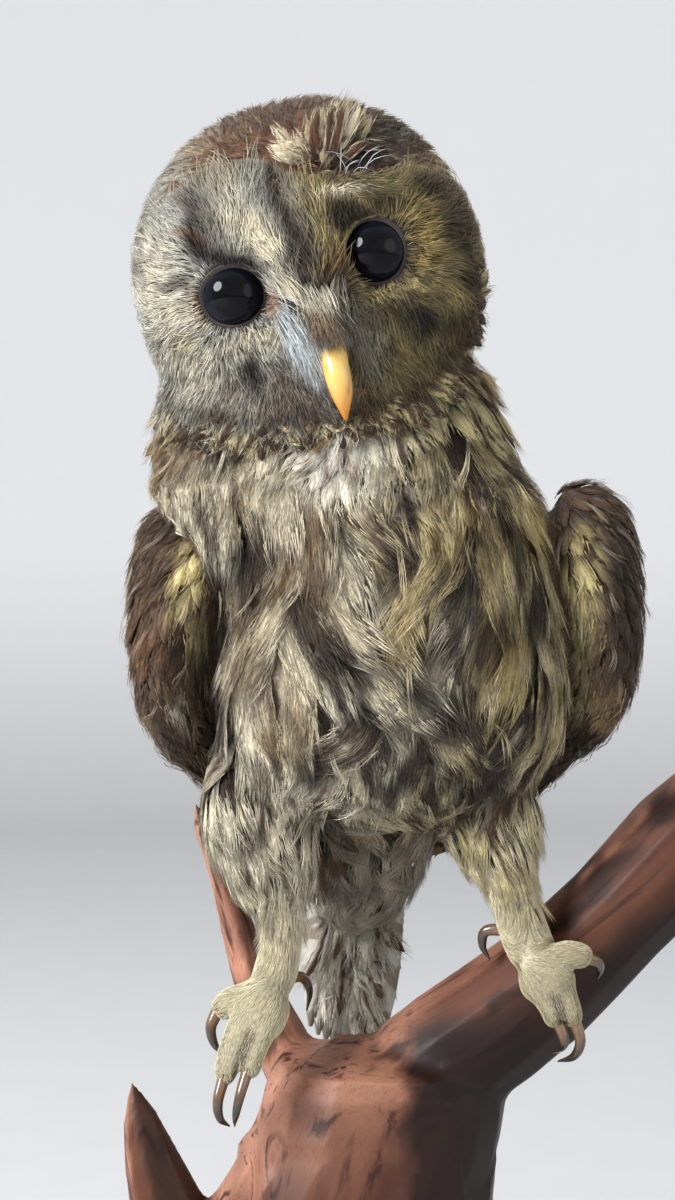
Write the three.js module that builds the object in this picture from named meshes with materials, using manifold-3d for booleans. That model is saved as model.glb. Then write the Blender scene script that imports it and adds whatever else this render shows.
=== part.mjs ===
// A mounted tawny owl on a carved, varnished wooden perch, life size.
//
// Millimetres, +Z up. The origin is on the floor under the perch's trunk. The owl faces -Y, and
// "left" and "right" are the owl's own, so its left side is at +X.
// Each soft part is a plain closed solid of its outer shape, out to the tips of its feathers.
import * as THREE from "three";
import { mergeVertices } from "three/addons/utils/BufferGeometryUtils.js";
import Module from "manifold-3d";

const wasm = await Module();
wasm.setup();

// ---------------------------------------------------------------- driving dimensions
const GAP = 0.4; // between neighbouring solids

// Head: a round ball of plumage with a flattened face, tilted towards the owl's right shoulder.
const HEAD_AT = new THREE.Vector3(-21, -6, 427);
const HEAD_HALF_WIDTH = 57;
const HEAD_TOP = 58;
const HEAD_BOTTOM = 54;
const HEAD_BACK = 54;
const HEAD_FRONT = 44;
const HEAD_ROLL = -16.5;
const HEAD_YAW = -1.5;
const HEAD_PITCH = 11;
const DISC_PLANE = -20; // head-frame depth where the two facial discs begin
const RIDGE_HEIGHT = 5; // of the brow ridge between the discs
const RIDGE_WIDTH = 8;
const DISH_DEPTH = 4; // of the hollow round each eye
const DISH_WIDTH = 17;

// Eyes and bill, in the head's own frame.
const EYE_RADIUS = 11;
const EYE_APART = 45;
const EYE_DEPTH = -32.5;
const EYE_HEIGHT = 2.5;
const BILL_LENGTH = 31;
const BILL_WIDTH = 9.5;

// Feathered legs.
const TOE_HALF = [4.6, 4.1, 3.5];
const CLAW_HALF = [2, 1.95, 1.35, 0.5];

const COLOURS = {
  plumage: 0xa08c68,
  face: 0xa39a7c,
  wing: 0x5d4430,
  feet: 0xcfc294,
  bill: 0xd9a445,
  claw: 0x2a211c,
  eye: 0x0b0b10,
  wood: 0x9a4f2c,
};
const ROUGHNESS = { bill: 0.35, claw: 0.3, eye: 0.05, wood: 0.3 };

// ---------------------------------------------------------------- shapes
const at = (x, y, z) => new THREE.Vector3(x, y, z);
const clamp01 = (t) => Math.min(1, Math.max(0, t));
const power = (value, exponent) => Math.sign(value) * Math.abs(value) ** exponent;

// A closed surface: each point of a unit sphere, by its place along (0 to 1) and its angle round,
// is moved by shape.
function mappedSphere(around, along, shape) {
  const geometry = new THREE.SphereGeometry(1, around, along);
  geometry.deleteAttribute("normal");
  geometry.deleteAttribute("uv");
  const position = geometry.getAttribute("position");
  for (let i = 0; i < position.count; i++) {
    const d = new THREE.Vector3().fromBufferAttribute(position, i).clampScalar(-1, 1);
    const t = Math.acos(d.y) / Math.PI;
    const p = shape(t, Math.atan2(d.z, -d.x), d);
    position.setXYZ(i, p.x, p.y, p.z);
  }
  return geometry;
}

// The value at t of numbers or points spread evenly over 0 to 1, joined smoothly.
function along(stations, t) {
  const points = stations.map((s) => (s.isVector3 ? s : at(...s, 0, 0).setZ(s[2] ?? 0)));
  return points.length === 1 ? points[0].clone() : new THREE.CatmullRomCurve3(points).getPoint(t);
}

const LOFT_DEFAULTS = { facing: [at(0, -1, 0)], blunt: 6, square: 2, level: false, around: 16, steps: 12 };

// A body lofted along a path. sizes are [half width, half thickness] at even stations, facing is the
// way its thickness points, blunt says how full its ends are and square how boxy its section is.
// level sections stay horizontal.
function loft(options) {
  const { path, sizes, facing, blunt, square, level, around, steps } = { ...LOFT_DEFAULTS, ...options };
  const curve = new THREE.CatmullRomCurve3(path);
  return mappedSphere(around, steps, (t, angle) => {
    const [half, thick] = along(sizes, t).toArray();
    const end = Math.sqrt(Math.max(0, 1 - Math.abs(2 * t - 1) ** blunt));
    const tangent = curve.getTangent(t);
    const face = along(facing, t);
    const squareOn = face.addScaledVector(tangent, -face.dot(tangent)).normalize();
    const outward = level ? at(0, -1, 0) : squareOn;
    const side = level ? at(1, 0, 0) : new THREE.Vector3().crossVectors(outward, tangent).normalize();
    return curve
      .getPoint(t)
      .addScaledVector(side, end * half * power(Math.cos(angle), 2 / square))
      .addScaledVector(outward, end * thick * power(Math.sin(angle), 2 / square));
  });
}

// ---------------------------------------------------------------- solids
function solidOf(geometry) {
  const merged = mergeVertices(geometry, 1e-3);
  const make = () =>
    new wasm.Manifold(
      new wasm.Mesh({
        numProp: 3,
        vertProperties: new Float32Array(merged.getAttribute("position").array),
        triVerts: new Uint32Array(merged.index.array),
      }),
    );
  const made = make();
  if (made.volume() > 0) return made;
  const order = merged.index.array;
  for (let i = 0; i < order.length; i += 3) {
    [order[i + 1], order[i + 2]] = [order[i + 2], order[i + 1]];
  }
  return make();
}

function geometryOf(solid) {
  const mesh = solid.getMesh();
  const places = new Float32Array(mesh.numVert * 3);
  for (let i = 0; i < mesh.numVert; i++) {
    places.set(mesh.vertProperties.subarray(i * mesh.numProp, i * mesh.numProp + 3), i * 3);
  }
  return new THREE.BufferGeometry()
    .setAttribute("position", new THREE.BufferAttribute(places, 3))
    .setIndex(new THREE.BufferAttribute(mesh.triVerts, 1));
}

// The solid with each vertex pushed out along its normal.
function grown(solid, distance) {
  const geometry = geometryOf(solid);
  geometry.computeVertexNormals();
  const position = geometry.getAttribute("position");
  const normal = geometry.getAttribute("normal");
  for (let i = 0; i < position.count; i++) {
    const n = new THREE.Vector3().fromBufferAttribute(normal, i).multiplyScalar(distance);
    position.setXYZ(i, position.getX(i) + n.x, position.getY(i) + n.y, position.getZ(i) + n.z);
  }
  geometry.deleteAttribute("normal");
  return solidOf(geometry);
}

const largest = (solid) => solid.decompose().sort((a, b) => b.volume() - a.volume())[0];

const owl = new THREE.Group();
owl.name = "tawny_owl_mount";
const taken = []; // every shape placed so far, grown by the gap

function show(name, solid, look) {
  const material = new THREE.MeshStandardMaterial({
    color: COLOURS[look],
    roughness: ROUGHNESS[look] ?? 0.9,
    metalness: 0,
  });
  const mesh = new THREE.Mesh(geometryOf(solid).toNonIndexed(), material);
  mesh.geometry.computeVertexNormals();
  mesh.name = name;
  owl.add(mesh);
}

// What is left of a shape beside every shape placed before it.
function claim(geometry) {
  const whole = solidOf(geometry);
  const left = taken.reduce((solid, other) => solid.subtract(other), whole);
  taken.push(grown(whole, GAP));
  return largest(left);
}

const place = (name, look, geometry) => show(name, claim(geometry), look);

// ---------------------------------------------------------------- perch
// One carved piece of wood: a stump with roots, a trunk with a worn saddle, a branch that rises to
// the owl's left, a slim prong behind the right leg and a short spike low on the owl's right.
const STUMP_HALF_WIDTH = 92;
const STUMP_HALF_DEPTH = 66;
const STUMP_HEIGHT = 118;
const ROOT_COUNT = 5;
const ROOT_SWELL = 0.13;
const ROOT_TURN = 0.5;
const STUMP_RINGS = 8;

function stumpShape(t, angle) {
  const ring = (1 - t) * STUMP_RINGS; // the first and the last are its flat ends
  const up = clamp01((ring - 1) / (STUMP_RINGS - 2));
  const rim = clamp01(Math.min(ring, STUMP_RINGS - ring));
  const spread = 1 - 0.44 * Math.sin((up * Math.PI) / 2) ** 0.7;
  const root = 1 + ROOT_SWELL * (1 - up) * Math.cos(ROOT_COUNT * angle + ROOT_TURN);
  const reach = rim * spread * root;
  return at(
    -9 + 6 * (1 - up) + STUMP_HALF_WIDTH * reach * Math.cos(angle),
    6 - STUMP_HALF_DEPTH * reach * Math.sin(angle),
    up * STUMP_HEIGHT,
  );
}

place("perch_stump", "wood", mappedSphere(25, STUMP_RINGS, stumpShape));
place(
  "perch_trunk",
  "wood",
  loft({
    path: [at(-9, 4, 104), at(-6, 4, 126), at(1, 4, 146), at(4, 5, 164), at(1, 6, 179)],
    sizes: [[53, 40], [48, 38], [44, 36], [41, 33], [29, 27]],
    blunt: 14,
    square: 2.3,
    level: true,
    around: 16,
    steps: 8,
  }),
);
place(
  "perch_branch",
  "wood",
  loft({
    path: [
      at(2, 6, 156),
      at(26, 5, 172),
      at(55, 4, 194),
      at(81, 4, 219),
      at(103, 4, 242),
      at(130, 3, 269),
      at(149, 2, 293),
    ],
    sizes: [[24, 24], [24, 24], [22.5, 22.5], [20.5, 20.5], [22, 22], [17, 17], [11, 11]],
    blunt: 10,
    around: 12,
    steps: 12,
  }),
);
place(
  "perch_prong",
  "wood",
  loft({
    path: [at(-20, 22, 150), at(-36, 25, 180), at(-45, 27, 205), at(-53, 28, 232), at(-62, 27, 254)],
    sizes: [[13, 12], [9.5, 9], [6.5, 6.5], [4.6, 4.6], [3.4, 3.4]],
    blunt: 10,
    around: 8,
    steps: 10,
  }),
);
place(
  "perch_spike",
  "wood",
  loft({
    path: [
      at(-30, 4, 36),
      at(-47, 4, 66),
      at(-59, 4, 92),
      at(-67, 3, 115),
      at(-74, 2, 138),
      at(-80.5, 1, 165),
    ],
    sizes: [[20, 20], [23, 22], [20, 18], [14.5, 13.5], [9.5, 9], [3.2, 3.2]],
    blunt: 8,
    around: 8,
    steps: 10,
  }),
);

// ---------------------------------------------------------------- feet
// Each foot: the way the toes run over the wood, from the pad to the base of each claw, and on to
// each claw's tip. half is the half width at even stations of the path beside it.
const FEET = {
  right: {
    thigh: {
      path: [at(-30, 4, 276), at(-37, 0, 252), at(-33, -6, 232), at(-30, -9, 219)],
      half: [25, 21, 14, 9],
    },
    tarsus: {
      path: [at(-30, -9, 226), at(-30.5, -11, 214), at(-31.5, -14, 204), at(-34.5, -18, 195)],
      half: [8, 6.8, 7.2, 8.5],
    },
    pad: at(-36, -21, 193),
    toes: {
      outer: [at(-39, -20, 195), at(-45.5, -20, 195), at(-50.5, -20, 191.5)],
      middle: [at(-40, -26, 190), at(-45.3, -30, 183), at(-47.6, -31.5, 172)],
      inner: [at(-33.5, -27, 190), at(-37.3, -31, 183), at(-39.8, -32.5, 174.5)],
      hind: [at(-34, -14, 192), at(-32, -6, 196), at(-29.5, 0, 197.5)],
    },
    claws: {
      outer: [at(-50.5, -20, 191), at(-52.3, -21, 187), at(-51.2, -22, 182), at(-48, -23, 178.3)],
      middle: [at(-47.6, -32, 172.5), at(-49.2, -34, 167), at(-48.6, -33.5, 161.5), at(-45.8, -30, 158)],
      inner: [at(-40.5, -33, 174.5), at(-42.3, -35.5, 169), at(-43.6, -35, 163), at(-44.2, -31.5, 158.3)],
      hind: [at(-29, 0.5, 197.5), at(-24, 5, 197.5), at(-21.3, 7, 192.5), at(-22.3, 8.5, 185.5)],
    },
  },
  left: {
    thigh: {
      path: [at(30, 4, 276), at(37, -1, 252), at(41.5, -8, 239), at(43.5, -12, 229)],
      half: [24, 18, 13, 9],
    },
    tarsus: {
      path: [at(43, -12, 237), at(45, -15, 226), at(48, -18.5, 216), at(52.5, -23, 206)],
      half: [8.5, 8, 8.8, 9],
    },
    pad: at(54.5, -25, 202),
    toes: {
      outer: [at(56, -25, 209), at(62, -26, 211), at(67, -25.5, 209.5)],
      middle: [at(58.5, -27, 199), at(60.5, -29.5, 195), at(62, -28.5, 190)],
      inner: [at(53, -27, 199), at(55, -29.5, 194.5), at(56.5, -28.5, 190)],
      hind: [at(51, -20, 208), at(46.5, -16, 213), at(42.5, -13, 216)],
    },
    claws: {
      outer: [at(67.3, -25.3, 209.3), at(70.3, -24, 208.3), at(71.6, -21.5, 205.5), at(71, -19.5, 202)],
      middle: [at(62, -29, 190.5), at(64, -31, 185), at(62.2, -28.5, 179.5), at(57.8, -24, 176.8)],
      inner: [at(56.5, -29, 190.5), at(58.8, -31, 186), at(58.4, -29, 182.5), at(56.2, -25.5, 180)],
      hind: [at(42, -12.5, 216.3), at(36.2, -11, 215.8), at(35, -10.5, 211), at(37.3, -10.5, 206.5)],
    },
  },
};

// ---------------------------------------------------------------- head frame
const headFrame = new THREE.Matrix4()
  .makeRotationFromEuler(
    new THREE.Euler(
      THREE.MathUtils.degToRad(HEAD_PITCH),
      THREE.MathUtils.degToRad(HEAD_ROLL),
      THREE.MathUtils.degToRad(HEAD_YAW),
      "ZYX",
    ),
  )
  .setPosition(HEAD_AT);
const inHead = (x, y, z) => at(x, y, z).applyMatrix4(headFrame);
const bump = (distance, width) => Math.exp(-((distance / width) ** 2));

function headShape(t, angle, d) {
  const x = HEAD_HALF_WIDTH * power(d.x, 0.93);
  const z = (d.y > 0 ? HEAD_TOP : HEAD_BOTTOM) * power(d.y, 0.93);
  const facing = -d.z > 0;
  if (!facing) return inHead(x, HEAD_BACK * d.z, z);
  const flat = HEAD_FRONT * Math.abs(d.z) ** 0.72;
  const ridge = RIDGE_HEIGHT * bump(x, RIDGE_WIDTH) * bump(z - 4, 34);
  const fromEye = Math.hypot(Math.abs(x) - EYE_APART / 2, z - EYE_HEIGHT);
  const dish = DISH_DEPTH * bump(fromEye, DISH_WIDTH);
  return inHead(x, -(flat + (ridge - dish) * Math.abs(d.z)), z);
}

// ---------------------------------------------------------------- eyes and bill
for (const [side, sign] of [["left", 1], ["right", -1]]) {
  const centre = inHead((sign * EYE_APART) / 2, EYE_DEPTH, EYE_HEIGHT);
  place(
    `eye_${side}`,
    "eye",
    mappedSphere(12, 8, (t, angle, d) => d.clone().multiplyScalar(EYE_RADIUS).add(centre)),
  );
}

const BILL_ROOT = -18;
place(
  "bill_upper",
  "bill",
  loft({
    path: [
      inHead(0, -36, BILL_ROOT + 3),
      inHead(0, -47, BILL_ROOT + 1),
      inHead(0, -54, BILL_ROOT - 6),
      inHead(0, -56, BILL_ROOT - 0.5 * BILL_LENGTH),
      inHead(-0.5, -53.5, BILL_ROOT - 0.8 * BILL_LENGTH),
    ],
    sizes: [
      [BILL_WIDTH, 5],
      [BILL_WIDTH * 0.8, 5.4],
      [BILL_WIDTH * 0.5, 5],
      [BILL_WIDTH * 0.38, 3.8],
      [1.2, 1.2],
    ],
    blunt: 9,
    around: 9,
    steps: 9,
  }),
);
place(
  "bill_lower",
  "bill",
  loft({
    path: [
      inHead(0, -34, BILL_ROOT - 8),
      inHead(0, -42, BILL_ROOT - 11),
      inHead(0, -48, BILL_ROOT - 17),
    ],
    sizes: [[5.5, 3], [4.6, 2.6], [2.4, 1.6]],
    facing: [at(0, -0.6, -0.8)],
    around: 8,
    steps: 4,
  }),
);

// ---------------------------------------------------------------- head
const headWhole = claim(mappedSphere(24, 16, headShape));
const backward = at(0, 1, 0).transformDirection(headFrame);
const leftward = at(1, 0, 0).transformDirection(headFrame);
const behindDiscs = backward.dot(HEAD_AT) + DISC_PLANE;
const midline = leftward.dot(HEAD_AT);
const flip = (v) => v.clone().negate();
show("head", largest(headWhole.trimByPlane(backward.toArray(), behindDiscs + GAP / 2)), "plumage");
const face = headWhole.trimByPlane(flip(backward).toArray(), -behindDiscs + GAP / 2);
show("face_disc_left", largest(face.trimByPlane(leftward.toArray(), midline + GAP / 2)), "face");
show("face_disc_right", largest(face.trimByPlane(flip(leftward).toArray(), -midline + GAP / 2)), "face");

place(
  "neck",
  "plumage",
  loft({
    path: [at(-16, 2, 408), at(-15, 1, 391), at(-14, 0, 374), at(-12, 0, 358)],
    sizes: [[52, 42], [57, 46], [61, 50], [64, 51]],
    blunt: 12,
    level: true,
    around: 16,
    steps: 5,
  }),
);

// ---------------------------------------------------------------- legs
const TOE_NAMES = ["outer", "middle", "inner", "hind"];
const round = (half) => half.map((h) => [h, h * 0.95]);

for (const [side, foot] of Object.entries(FEET)) {
  for (const toe of TOE_NAMES) {
    const path = foot.toes[toe];
    place(`toe_${side}_${toe}`, "feet", loft({ path, sizes: round(TOE_HALF), around: 8, steps: 4 }));
  }
  for (const toe of TOE_NAMES) {
    const path = foot.claws[toe];
    const claw = loft({ path, sizes: round(CLAW_HALF), blunt: 12, around: 6, steps: 6 });
    place(`claw_${side}_${toe}`, "claw", claw);
  }
  place(
    `foot_${side}`,
    "feet",
    mappedSphere(10, 6, (t, angle, d) => at(d.x * 9.5, d.z * 8.5, d.y * 8).add(foot.pad)),
  );
  place(
    `tarsus_${side}`,
    "feet",
    loft({ path: foot.tarsus.path, sizes: round(foot.tarsus.half), blunt: 10, around: 8, steps: 5 }),
  );
  place(
    `thigh_${side}`,
    "plumage",
    loft({ path: foot.thigh.path, sizes: round(foot.thigh.half), around: 10, steps: 7 }),
  );
}

// ---------------------------------------------------------------- wings
// Folded over the sides of the trunk. The hand runs back and down, so that its tip lies over the rump.
const WING_MIDDLE = 3.5; // across, between the two wings
const WING_RAISE = { right: 0, left: 5 };
const WING_LEAN = 0.11; // of that middle, for each millimetre below the belly
const WING_LEAN_BELOW = 270;
// Down the wing, for an owl's left wing: its middle line, half chord, half thickness, and the way out.
const WING_STATIONS = [
  { path: [56, -14, 356], chord: 16, thick: 10, facing: [1, -0.5, 0] },
  { path: [68, -5, 335], chord: 30, thick: 15, facing: [1, -0.3, 0] },
  { path: [71, 7, 308], chord: 33, thick: 14, facing: [1, 0.1, 0] },
  { path: [54, 31, 281], chord: 24, thick: 10, facing: [1, 0.8, 0] },
  { path: [35, 51, 251], chord: 17, thick: 5, facing: [0.5, 1, 0] },
  { path: [13, 64, 224], chord: 10, thick: 3, facing: [0.2, 1, 0] },
  { path: [5, 72, 200], chord: 6, thick: 2, facing: [0, 1, 0] },
];
const WING_SPLIT_HEIGHT = 268; // coverts above, tips of the flight feathers below

const wingMiddle = (z) => WING_MIDDLE - WING_LEAN * Math.max(0, WING_LEAN_BELOW - z);

for (const [side, sign] of [["right", -1], ["left", 1]]) {
  const whole = claim(
    loft({
      path: WING_STATIONS.map(({ path: [x, y, z] }) => at(wingMiddle(z) + sign * x, y, z + WING_RAISE[side])),
      sizes: WING_STATIONS.map(({ chord, thick }) => [chord, thick]),
      facing: WING_STATIONS.map(({ facing: [x, y, z] }) => at(sign * x, y, z)),
      around: 14,
      steps: 14,
    }),
  );
  const above = whole.trimByPlane([0, 0, 1], WING_SPLIT_HEIGHT + GAP / 2);
  const below = whole.trimByPlane([0, 0, -1], -WING_SPLIT_HEIGHT + GAP / 2);
  show(`wing_${side}_coverts`, largest(above), "wing");
  show(`wing_${side}_primaries`, largest(below), "wing");
}

// ---------------------------------------------------------------- trunk and tail
place(
  "tail",
  "wing",
  loft({
    path: [at(1, 50, 262), at(-2, 60, 232), at(-6, 69, 200), at(-8, 77, 158)],
    sizes: [[19, 7], [20, 6], [19, 4.5], [16, 3]],
    facing: [at(0, 1, 0.3)],
    square: 2.6,
    around: 12,
    steps: 8,
  }),
);
place(
  "trunk",
  "plumage",
  loft({
    path: [
      at(-14, -2, 383),
      at(-12, -2, 364),
      at(-3, -1, 342),
      at(4, 0, 318),
      at(6, 0, 294),
      at(5, 2, 270),
      at(2, 9, 241),
    ],
    sizes: [[58, 46], [66, 50], [62, 53], [58, 54], [58, 53], [57, 47], [47, 36]],
    blunt: 6,
    square: 2.2,
    level: true,
    around: 20,
    steps: 10,
  }),
);
place(
  "mantle",
  "wing",
  loft({
    path: [at(-12, 16, 380), at(-6, 22, 350), at(2, 27, 320), at(4, 33, 290)],
    sizes: [[50, 34], [67, 33], [66, 28], [48, 21]],
    level: true,
    around: 14,
    steps: 6,
  }),
);
place(
  "rump",
  "wing",
  loft({
    path: [at(4, 30, 305), at(3, 38, 275), at(0, 49, 250), at(-3, 58, 232)],
    sizes: [[40, 22], [36, 20], [27, 12], [18, 7]],
    facing: [at(0, 1, 0.4)],
    around: 10,
    steps: 6,
  }),
);
place(
  "vent",
  "plumage",
  loft({
    path: [at(3, 22, 262), at(-1, 32, 240), at(-5, 44, 221), at(-6, 53, 204)],
    sizes: [[30, 26], [22, 19], [18, 13], [11, 7]],
    facing: [at(0, -1, 0)],
    around: 12,
    steps: 8,
  }),
);

export default owl;
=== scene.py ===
"""A mounted tawny owl on its carved, varnished perch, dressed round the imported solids.

Sizes in this file are in millimetres and become metres where a mesh is made. The owl faces -Y, its own left
side is at +X, and +Z is up. "Head frame" means the tilted head's own axes, with its origin at HEAD_AT.
"""

import math

import bmesh
import bpy
import numpy as np
from mathutils import Matrix, Vector
from mathutils.bvhtree import BVHTree


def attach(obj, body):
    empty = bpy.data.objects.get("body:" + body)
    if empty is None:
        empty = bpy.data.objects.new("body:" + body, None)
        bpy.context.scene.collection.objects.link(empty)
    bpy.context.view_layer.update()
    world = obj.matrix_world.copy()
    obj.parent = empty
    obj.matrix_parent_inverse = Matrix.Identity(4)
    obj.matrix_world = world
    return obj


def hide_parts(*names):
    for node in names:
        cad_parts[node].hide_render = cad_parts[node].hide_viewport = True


MM = 0.001
BODY = "root"
SIDES = {"left": 1, "right": -1}

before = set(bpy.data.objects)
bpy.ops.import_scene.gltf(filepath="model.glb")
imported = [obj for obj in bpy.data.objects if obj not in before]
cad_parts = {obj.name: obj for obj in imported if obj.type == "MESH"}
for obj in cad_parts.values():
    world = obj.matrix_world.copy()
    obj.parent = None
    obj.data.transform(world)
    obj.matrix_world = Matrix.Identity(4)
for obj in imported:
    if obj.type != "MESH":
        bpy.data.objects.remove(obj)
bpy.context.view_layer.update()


# ------------------------------------------------------------------ small tools
def unit(v):
    """Vectors brought to a length of 1."""
    return v / np.maximum(np.linalg.norm(v, axis=-1, keepdims=True), 1e-9)


def dot(a, b):
    """The product of vectors, with its last axis kept."""
    return (a * b).sum(-1, keepdims=True)


def square_to(ways, normals):
    """The part of each direction that is square to its normal."""
    return ways - normals * dot(ways, normals)


def flatten(ways, normals):
    """Directions turned to lie in the surface."""
    return unit(square_to(ways, normals))


def xyz(x, y, z):
    """Points or directions from their three parts, each of them an array or one number."""
    return np.stack(np.broadcast_arrays(x, y, z), -1).astype(float)


def srgb(red, green, blue):
    """A colour given as 0 to 255 on screen, as linear light."""
    c = np.array([red, green, blue]) / 255
    return np.where(c <= 0.04045, c / 12.92, ((c + 0.055) / 1.055) ** 2.4)


def ease(value, low, high):
    """0 at low, 1 at high and smooth between them."""
    t = np.clip((value - low) / (high - low), 0, 1)
    return t * t * (3 - 2 * t)


def wobble(points, scale, seed):
    """Smooth noise of about -1 to 1 that varies over the given distance."""
    rng = np.random.default_rng(seed)
    waves = unit(rng.normal(size=(9, 3))) * rng.uniform(0.5, 1.5, (9, 1)) * 2 * math.pi / scale
    return np.sin(points @ waves.T + rng.uniform(0, 2 * math.pi, 9)).sum(-1) / 3.2


def mix(a, b, share):
    return a * (1 - share) + b * share


def stir(points, x_wave, z_wave):
    """The points moved a little in x and in z, by smooth noise of a scale, a seed and a size each."""
    parts = [size * wobble(points, scale, seed) for scale, seed, size in (x_wave, z_wave)]
    return points + xyz(parts[0], 0, parts[1])


def tint(colours, colour, amount):
    """The colours moved towards one colour by an amount for each."""
    amount = np.clip(np.asarray(amount), 0, 1)[..., None]
    return colours * (1 - amount) + np.asarray(colour) * amount


def oval(points, mark):
    """How strongly a mark shows at each point. A mark is the x and z of its centre, two radii and a tilt."""
    cx, cz, rx, rz, tilt = mark
    x, z = points[:, 0], points[:, 2]
    c, s = math.cos(math.radians(tilt)), math.sin(math.radians(tilt))
    u = (x - cx) * c + (z - cz) * s
    v = (z - cz) * c - (x - cx) * s
    return np.exp(-(((u / rx) ** 2 + (v / rz) ** 2) ** 1.5))


def paint(colours, points, marks):
    """Lays marks, each a place and shape, a colour and a strength, over the colours one after another."""
    for mark, colour, strength in marks:
        colours = tint(colours, colour, oval(points, mark) * strength)
    return colours


def catmull(points, t):
    """Places at t, from 0 to 1, on a smooth curve through evenly spaced points."""
    points = np.asarray(points, float)
    padded = np.vstack([2 * points[0] - points[1], points, 2 * points[-1] - points[-2]])
    t = np.asarray(t, float) * (len(points) - 1)
    i = np.clip(t.astype(int), 0, len(points) - 2)
    f = (t - i)[..., None]
    a, b, c, d = (padded[i + k] for k in range(4))
    return 0.5 * (2 * b + (c - a) * f + (2 * a - 5 * b + 4 * c - d) * f**2 + (3 * b - a - 3 * c + d) * f**3)


def ring_tris(rings, around, turned=False):
    """Triangles that join each ring of vertices to the next one; turned makes them face the other way."""
    tris = []
    for k in range(rings - 1):
        for j in range(around):
            a, b = k * around + j, k * around + (j + 1) % around
            c, d = a + around, b + around
            tris += [(a, c, b), (b, c, d)] if turned else [(a, b, c), (b, d, c)]
    return tris


def closed_tube(rings, first, last):
    """A closed mesh through rings of points, with one point more at either end."""
    stations, around = rings.shape[:2]
    tris = ring_tris(stations, around)
    ends, row = stations * around, (stations - 1) * around
    for j in range(around):
        b = (j + 1) % around
        tris += [(ends, b, j), (ends + 1, row + j, row + b)]
    return np.vstack([rings.reshape(-1, 3), first, last]), np.array(tris)


def loft(path, half_widths, half_heights, side, stations=28, around=20, keel=0.0, blunt=0.0):
    """A closed tube through the path, and how far along it each vertex is.

    side is the way its width points, keel sharpens its top, and blunt is the share of its length that is
    rounded off at its end.
    """
    t = np.linspace(0, 1, stations)
    centre = catmull(path, t)
    ahead = unit(np.gradient(centre, axis=0))
    side = flatten(np.broadcast_to(np.asarray(side, float), centre.shape), ahead)
    up = np.cross(side, ahead)
    wide = catmull(np.reshape(half_widths, (-1, 1)), t)
    high = catmull(np.reshape(half_heights, (-1, 1)), t)
    if blunt:
        close = np.sqrt(1 - 0.98 * np.clip((t - 1 + blunt) / blunt, 0, 1) ** 2)[:, None]
        wide, high = wide * close, high * close
    angle = np.linspace(0, 2 * math.pi, around, endpoint=False)
    c, s = np.cos(angle), np.sin(angle)
    squeeze = 1 - keel * np.maximum(s, 0) ** 2
    sideways, upward = (wide * (c * squeeze))[..., None], (high * s)[..., None]
    rings = centre[:, None] + side[:, None] * sideways + up[:, None] * upward
    return *closed_tube(rings, centre[0], centre[-1]), np.concatenate([np.repeat(t, around), [0, 1]])


# ------------------------------------------------------------------ head frame
HEAD_AT = np.array([-21.0, -6.0, 427.0])
HEAD_YAW, HEAD_ROLL, HEAD_PITCH = (
    Matrix.Rotation(math.radians(angle), 3, axis) for axis, angle in (("Z", -1.5), ("Y", -16.5), ("X", 11))
)
HEAD_TURN = np.array(HEAD_YAW @ HEAD_ROLL @ HEAD_PITCH)


def to_head(points):
    return (np.asarray(points, float) - HEAD_AT) @ HEAD_TURN


def from_head(points):
    return np.asarray(points, float) @ HEAD_TURN.T + HEAD_AT


def turn_from_head(directions):
    return np.asarray(directions, float) @ HEAD_TURN.T


EYES = {"left": np.array([21.3, -30.8, 3.6]), "right": np.array([-24.2, -30.8, 3.0])}
EYE_RADIUS = 11.0
LID_WIDE = {"left": (9.2, 9.8), "right": (9.8, 9.0)}  # half width and half height of each eye's opening


# ------------------------------------------------------------------ surfaces
class Surface:
    """A closed triangle mesh to lay feathers on."""

    def __init__(self, verts, tris):
        self.verts, self.tris = verts, tris
        corners = verts[tris]
        cross = np.cross(corners[:, 1] - corners[:, 0], corners[:, 2] - corners[:, 0])
        self.area = np.linalg.norm(cross, axis=1) / 2
        self.normals = np.zeros_like(verts)
        for axis in range(3):
            weights = np.repeat(cross[:, axis], 3)
            self.normals[:, axis] = np.bincount(tris.ravel(), weights, len(verts))
        self.normals = unit(self.normals)
        self.tri_normals = unit(self.normals[tris].sum(1))
        self.tree = BVHTree.FromPolygons(verts.tolist(), tris.tolist())

    def nearest(self, points):
        """The nearest places on the surface, and its normals there."""
        hits = [self.tree.find_nearest(p) for p in points.tolist()]
        return np.array([h[0][:] for h in hits]), self.tri_normals[[h[2] for h in hits]]

    def struck(self, points, direction):
        """Where those rays from the points that meet the surface do so, and its normals there."""
        hits = [self.tree.ray_cast(p, direction) for p in points.tolist()]
        hits = [h for h in hits if h[0] is not None]
        return np.array([h[0][:] for h in hits]), self.tri_normals[[h[2] for h in hits]]

    def outside(self, points, margin):
        """Which points stand further above the surface than the margin, which may be negative."""
        place, normal = self.nearest(points)
        return dot(points - place, normal)[:, 0] > margin


def link(obj):
    """Puts an object in the scene."""
    bpy.context.scene.collection.objects.link(obj)
    return obj


# How each closed surface is made: how far the solids grow, the voxel's size, and how often it is smoothed.
SHELLS = {
    "body": (0.6, 2.0, 8),
    "leg": (0.3, 0.6, 3),
    "wing": (0.4, 1.5, 6),
    "skin": (0.6, 1.5, 4),
    "perch": (0.6, 1.6, 5),
}
TUBE_END = 0.18  # share of a toe's length that is rounded off
WELD = 1e-6  # in metres


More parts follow.
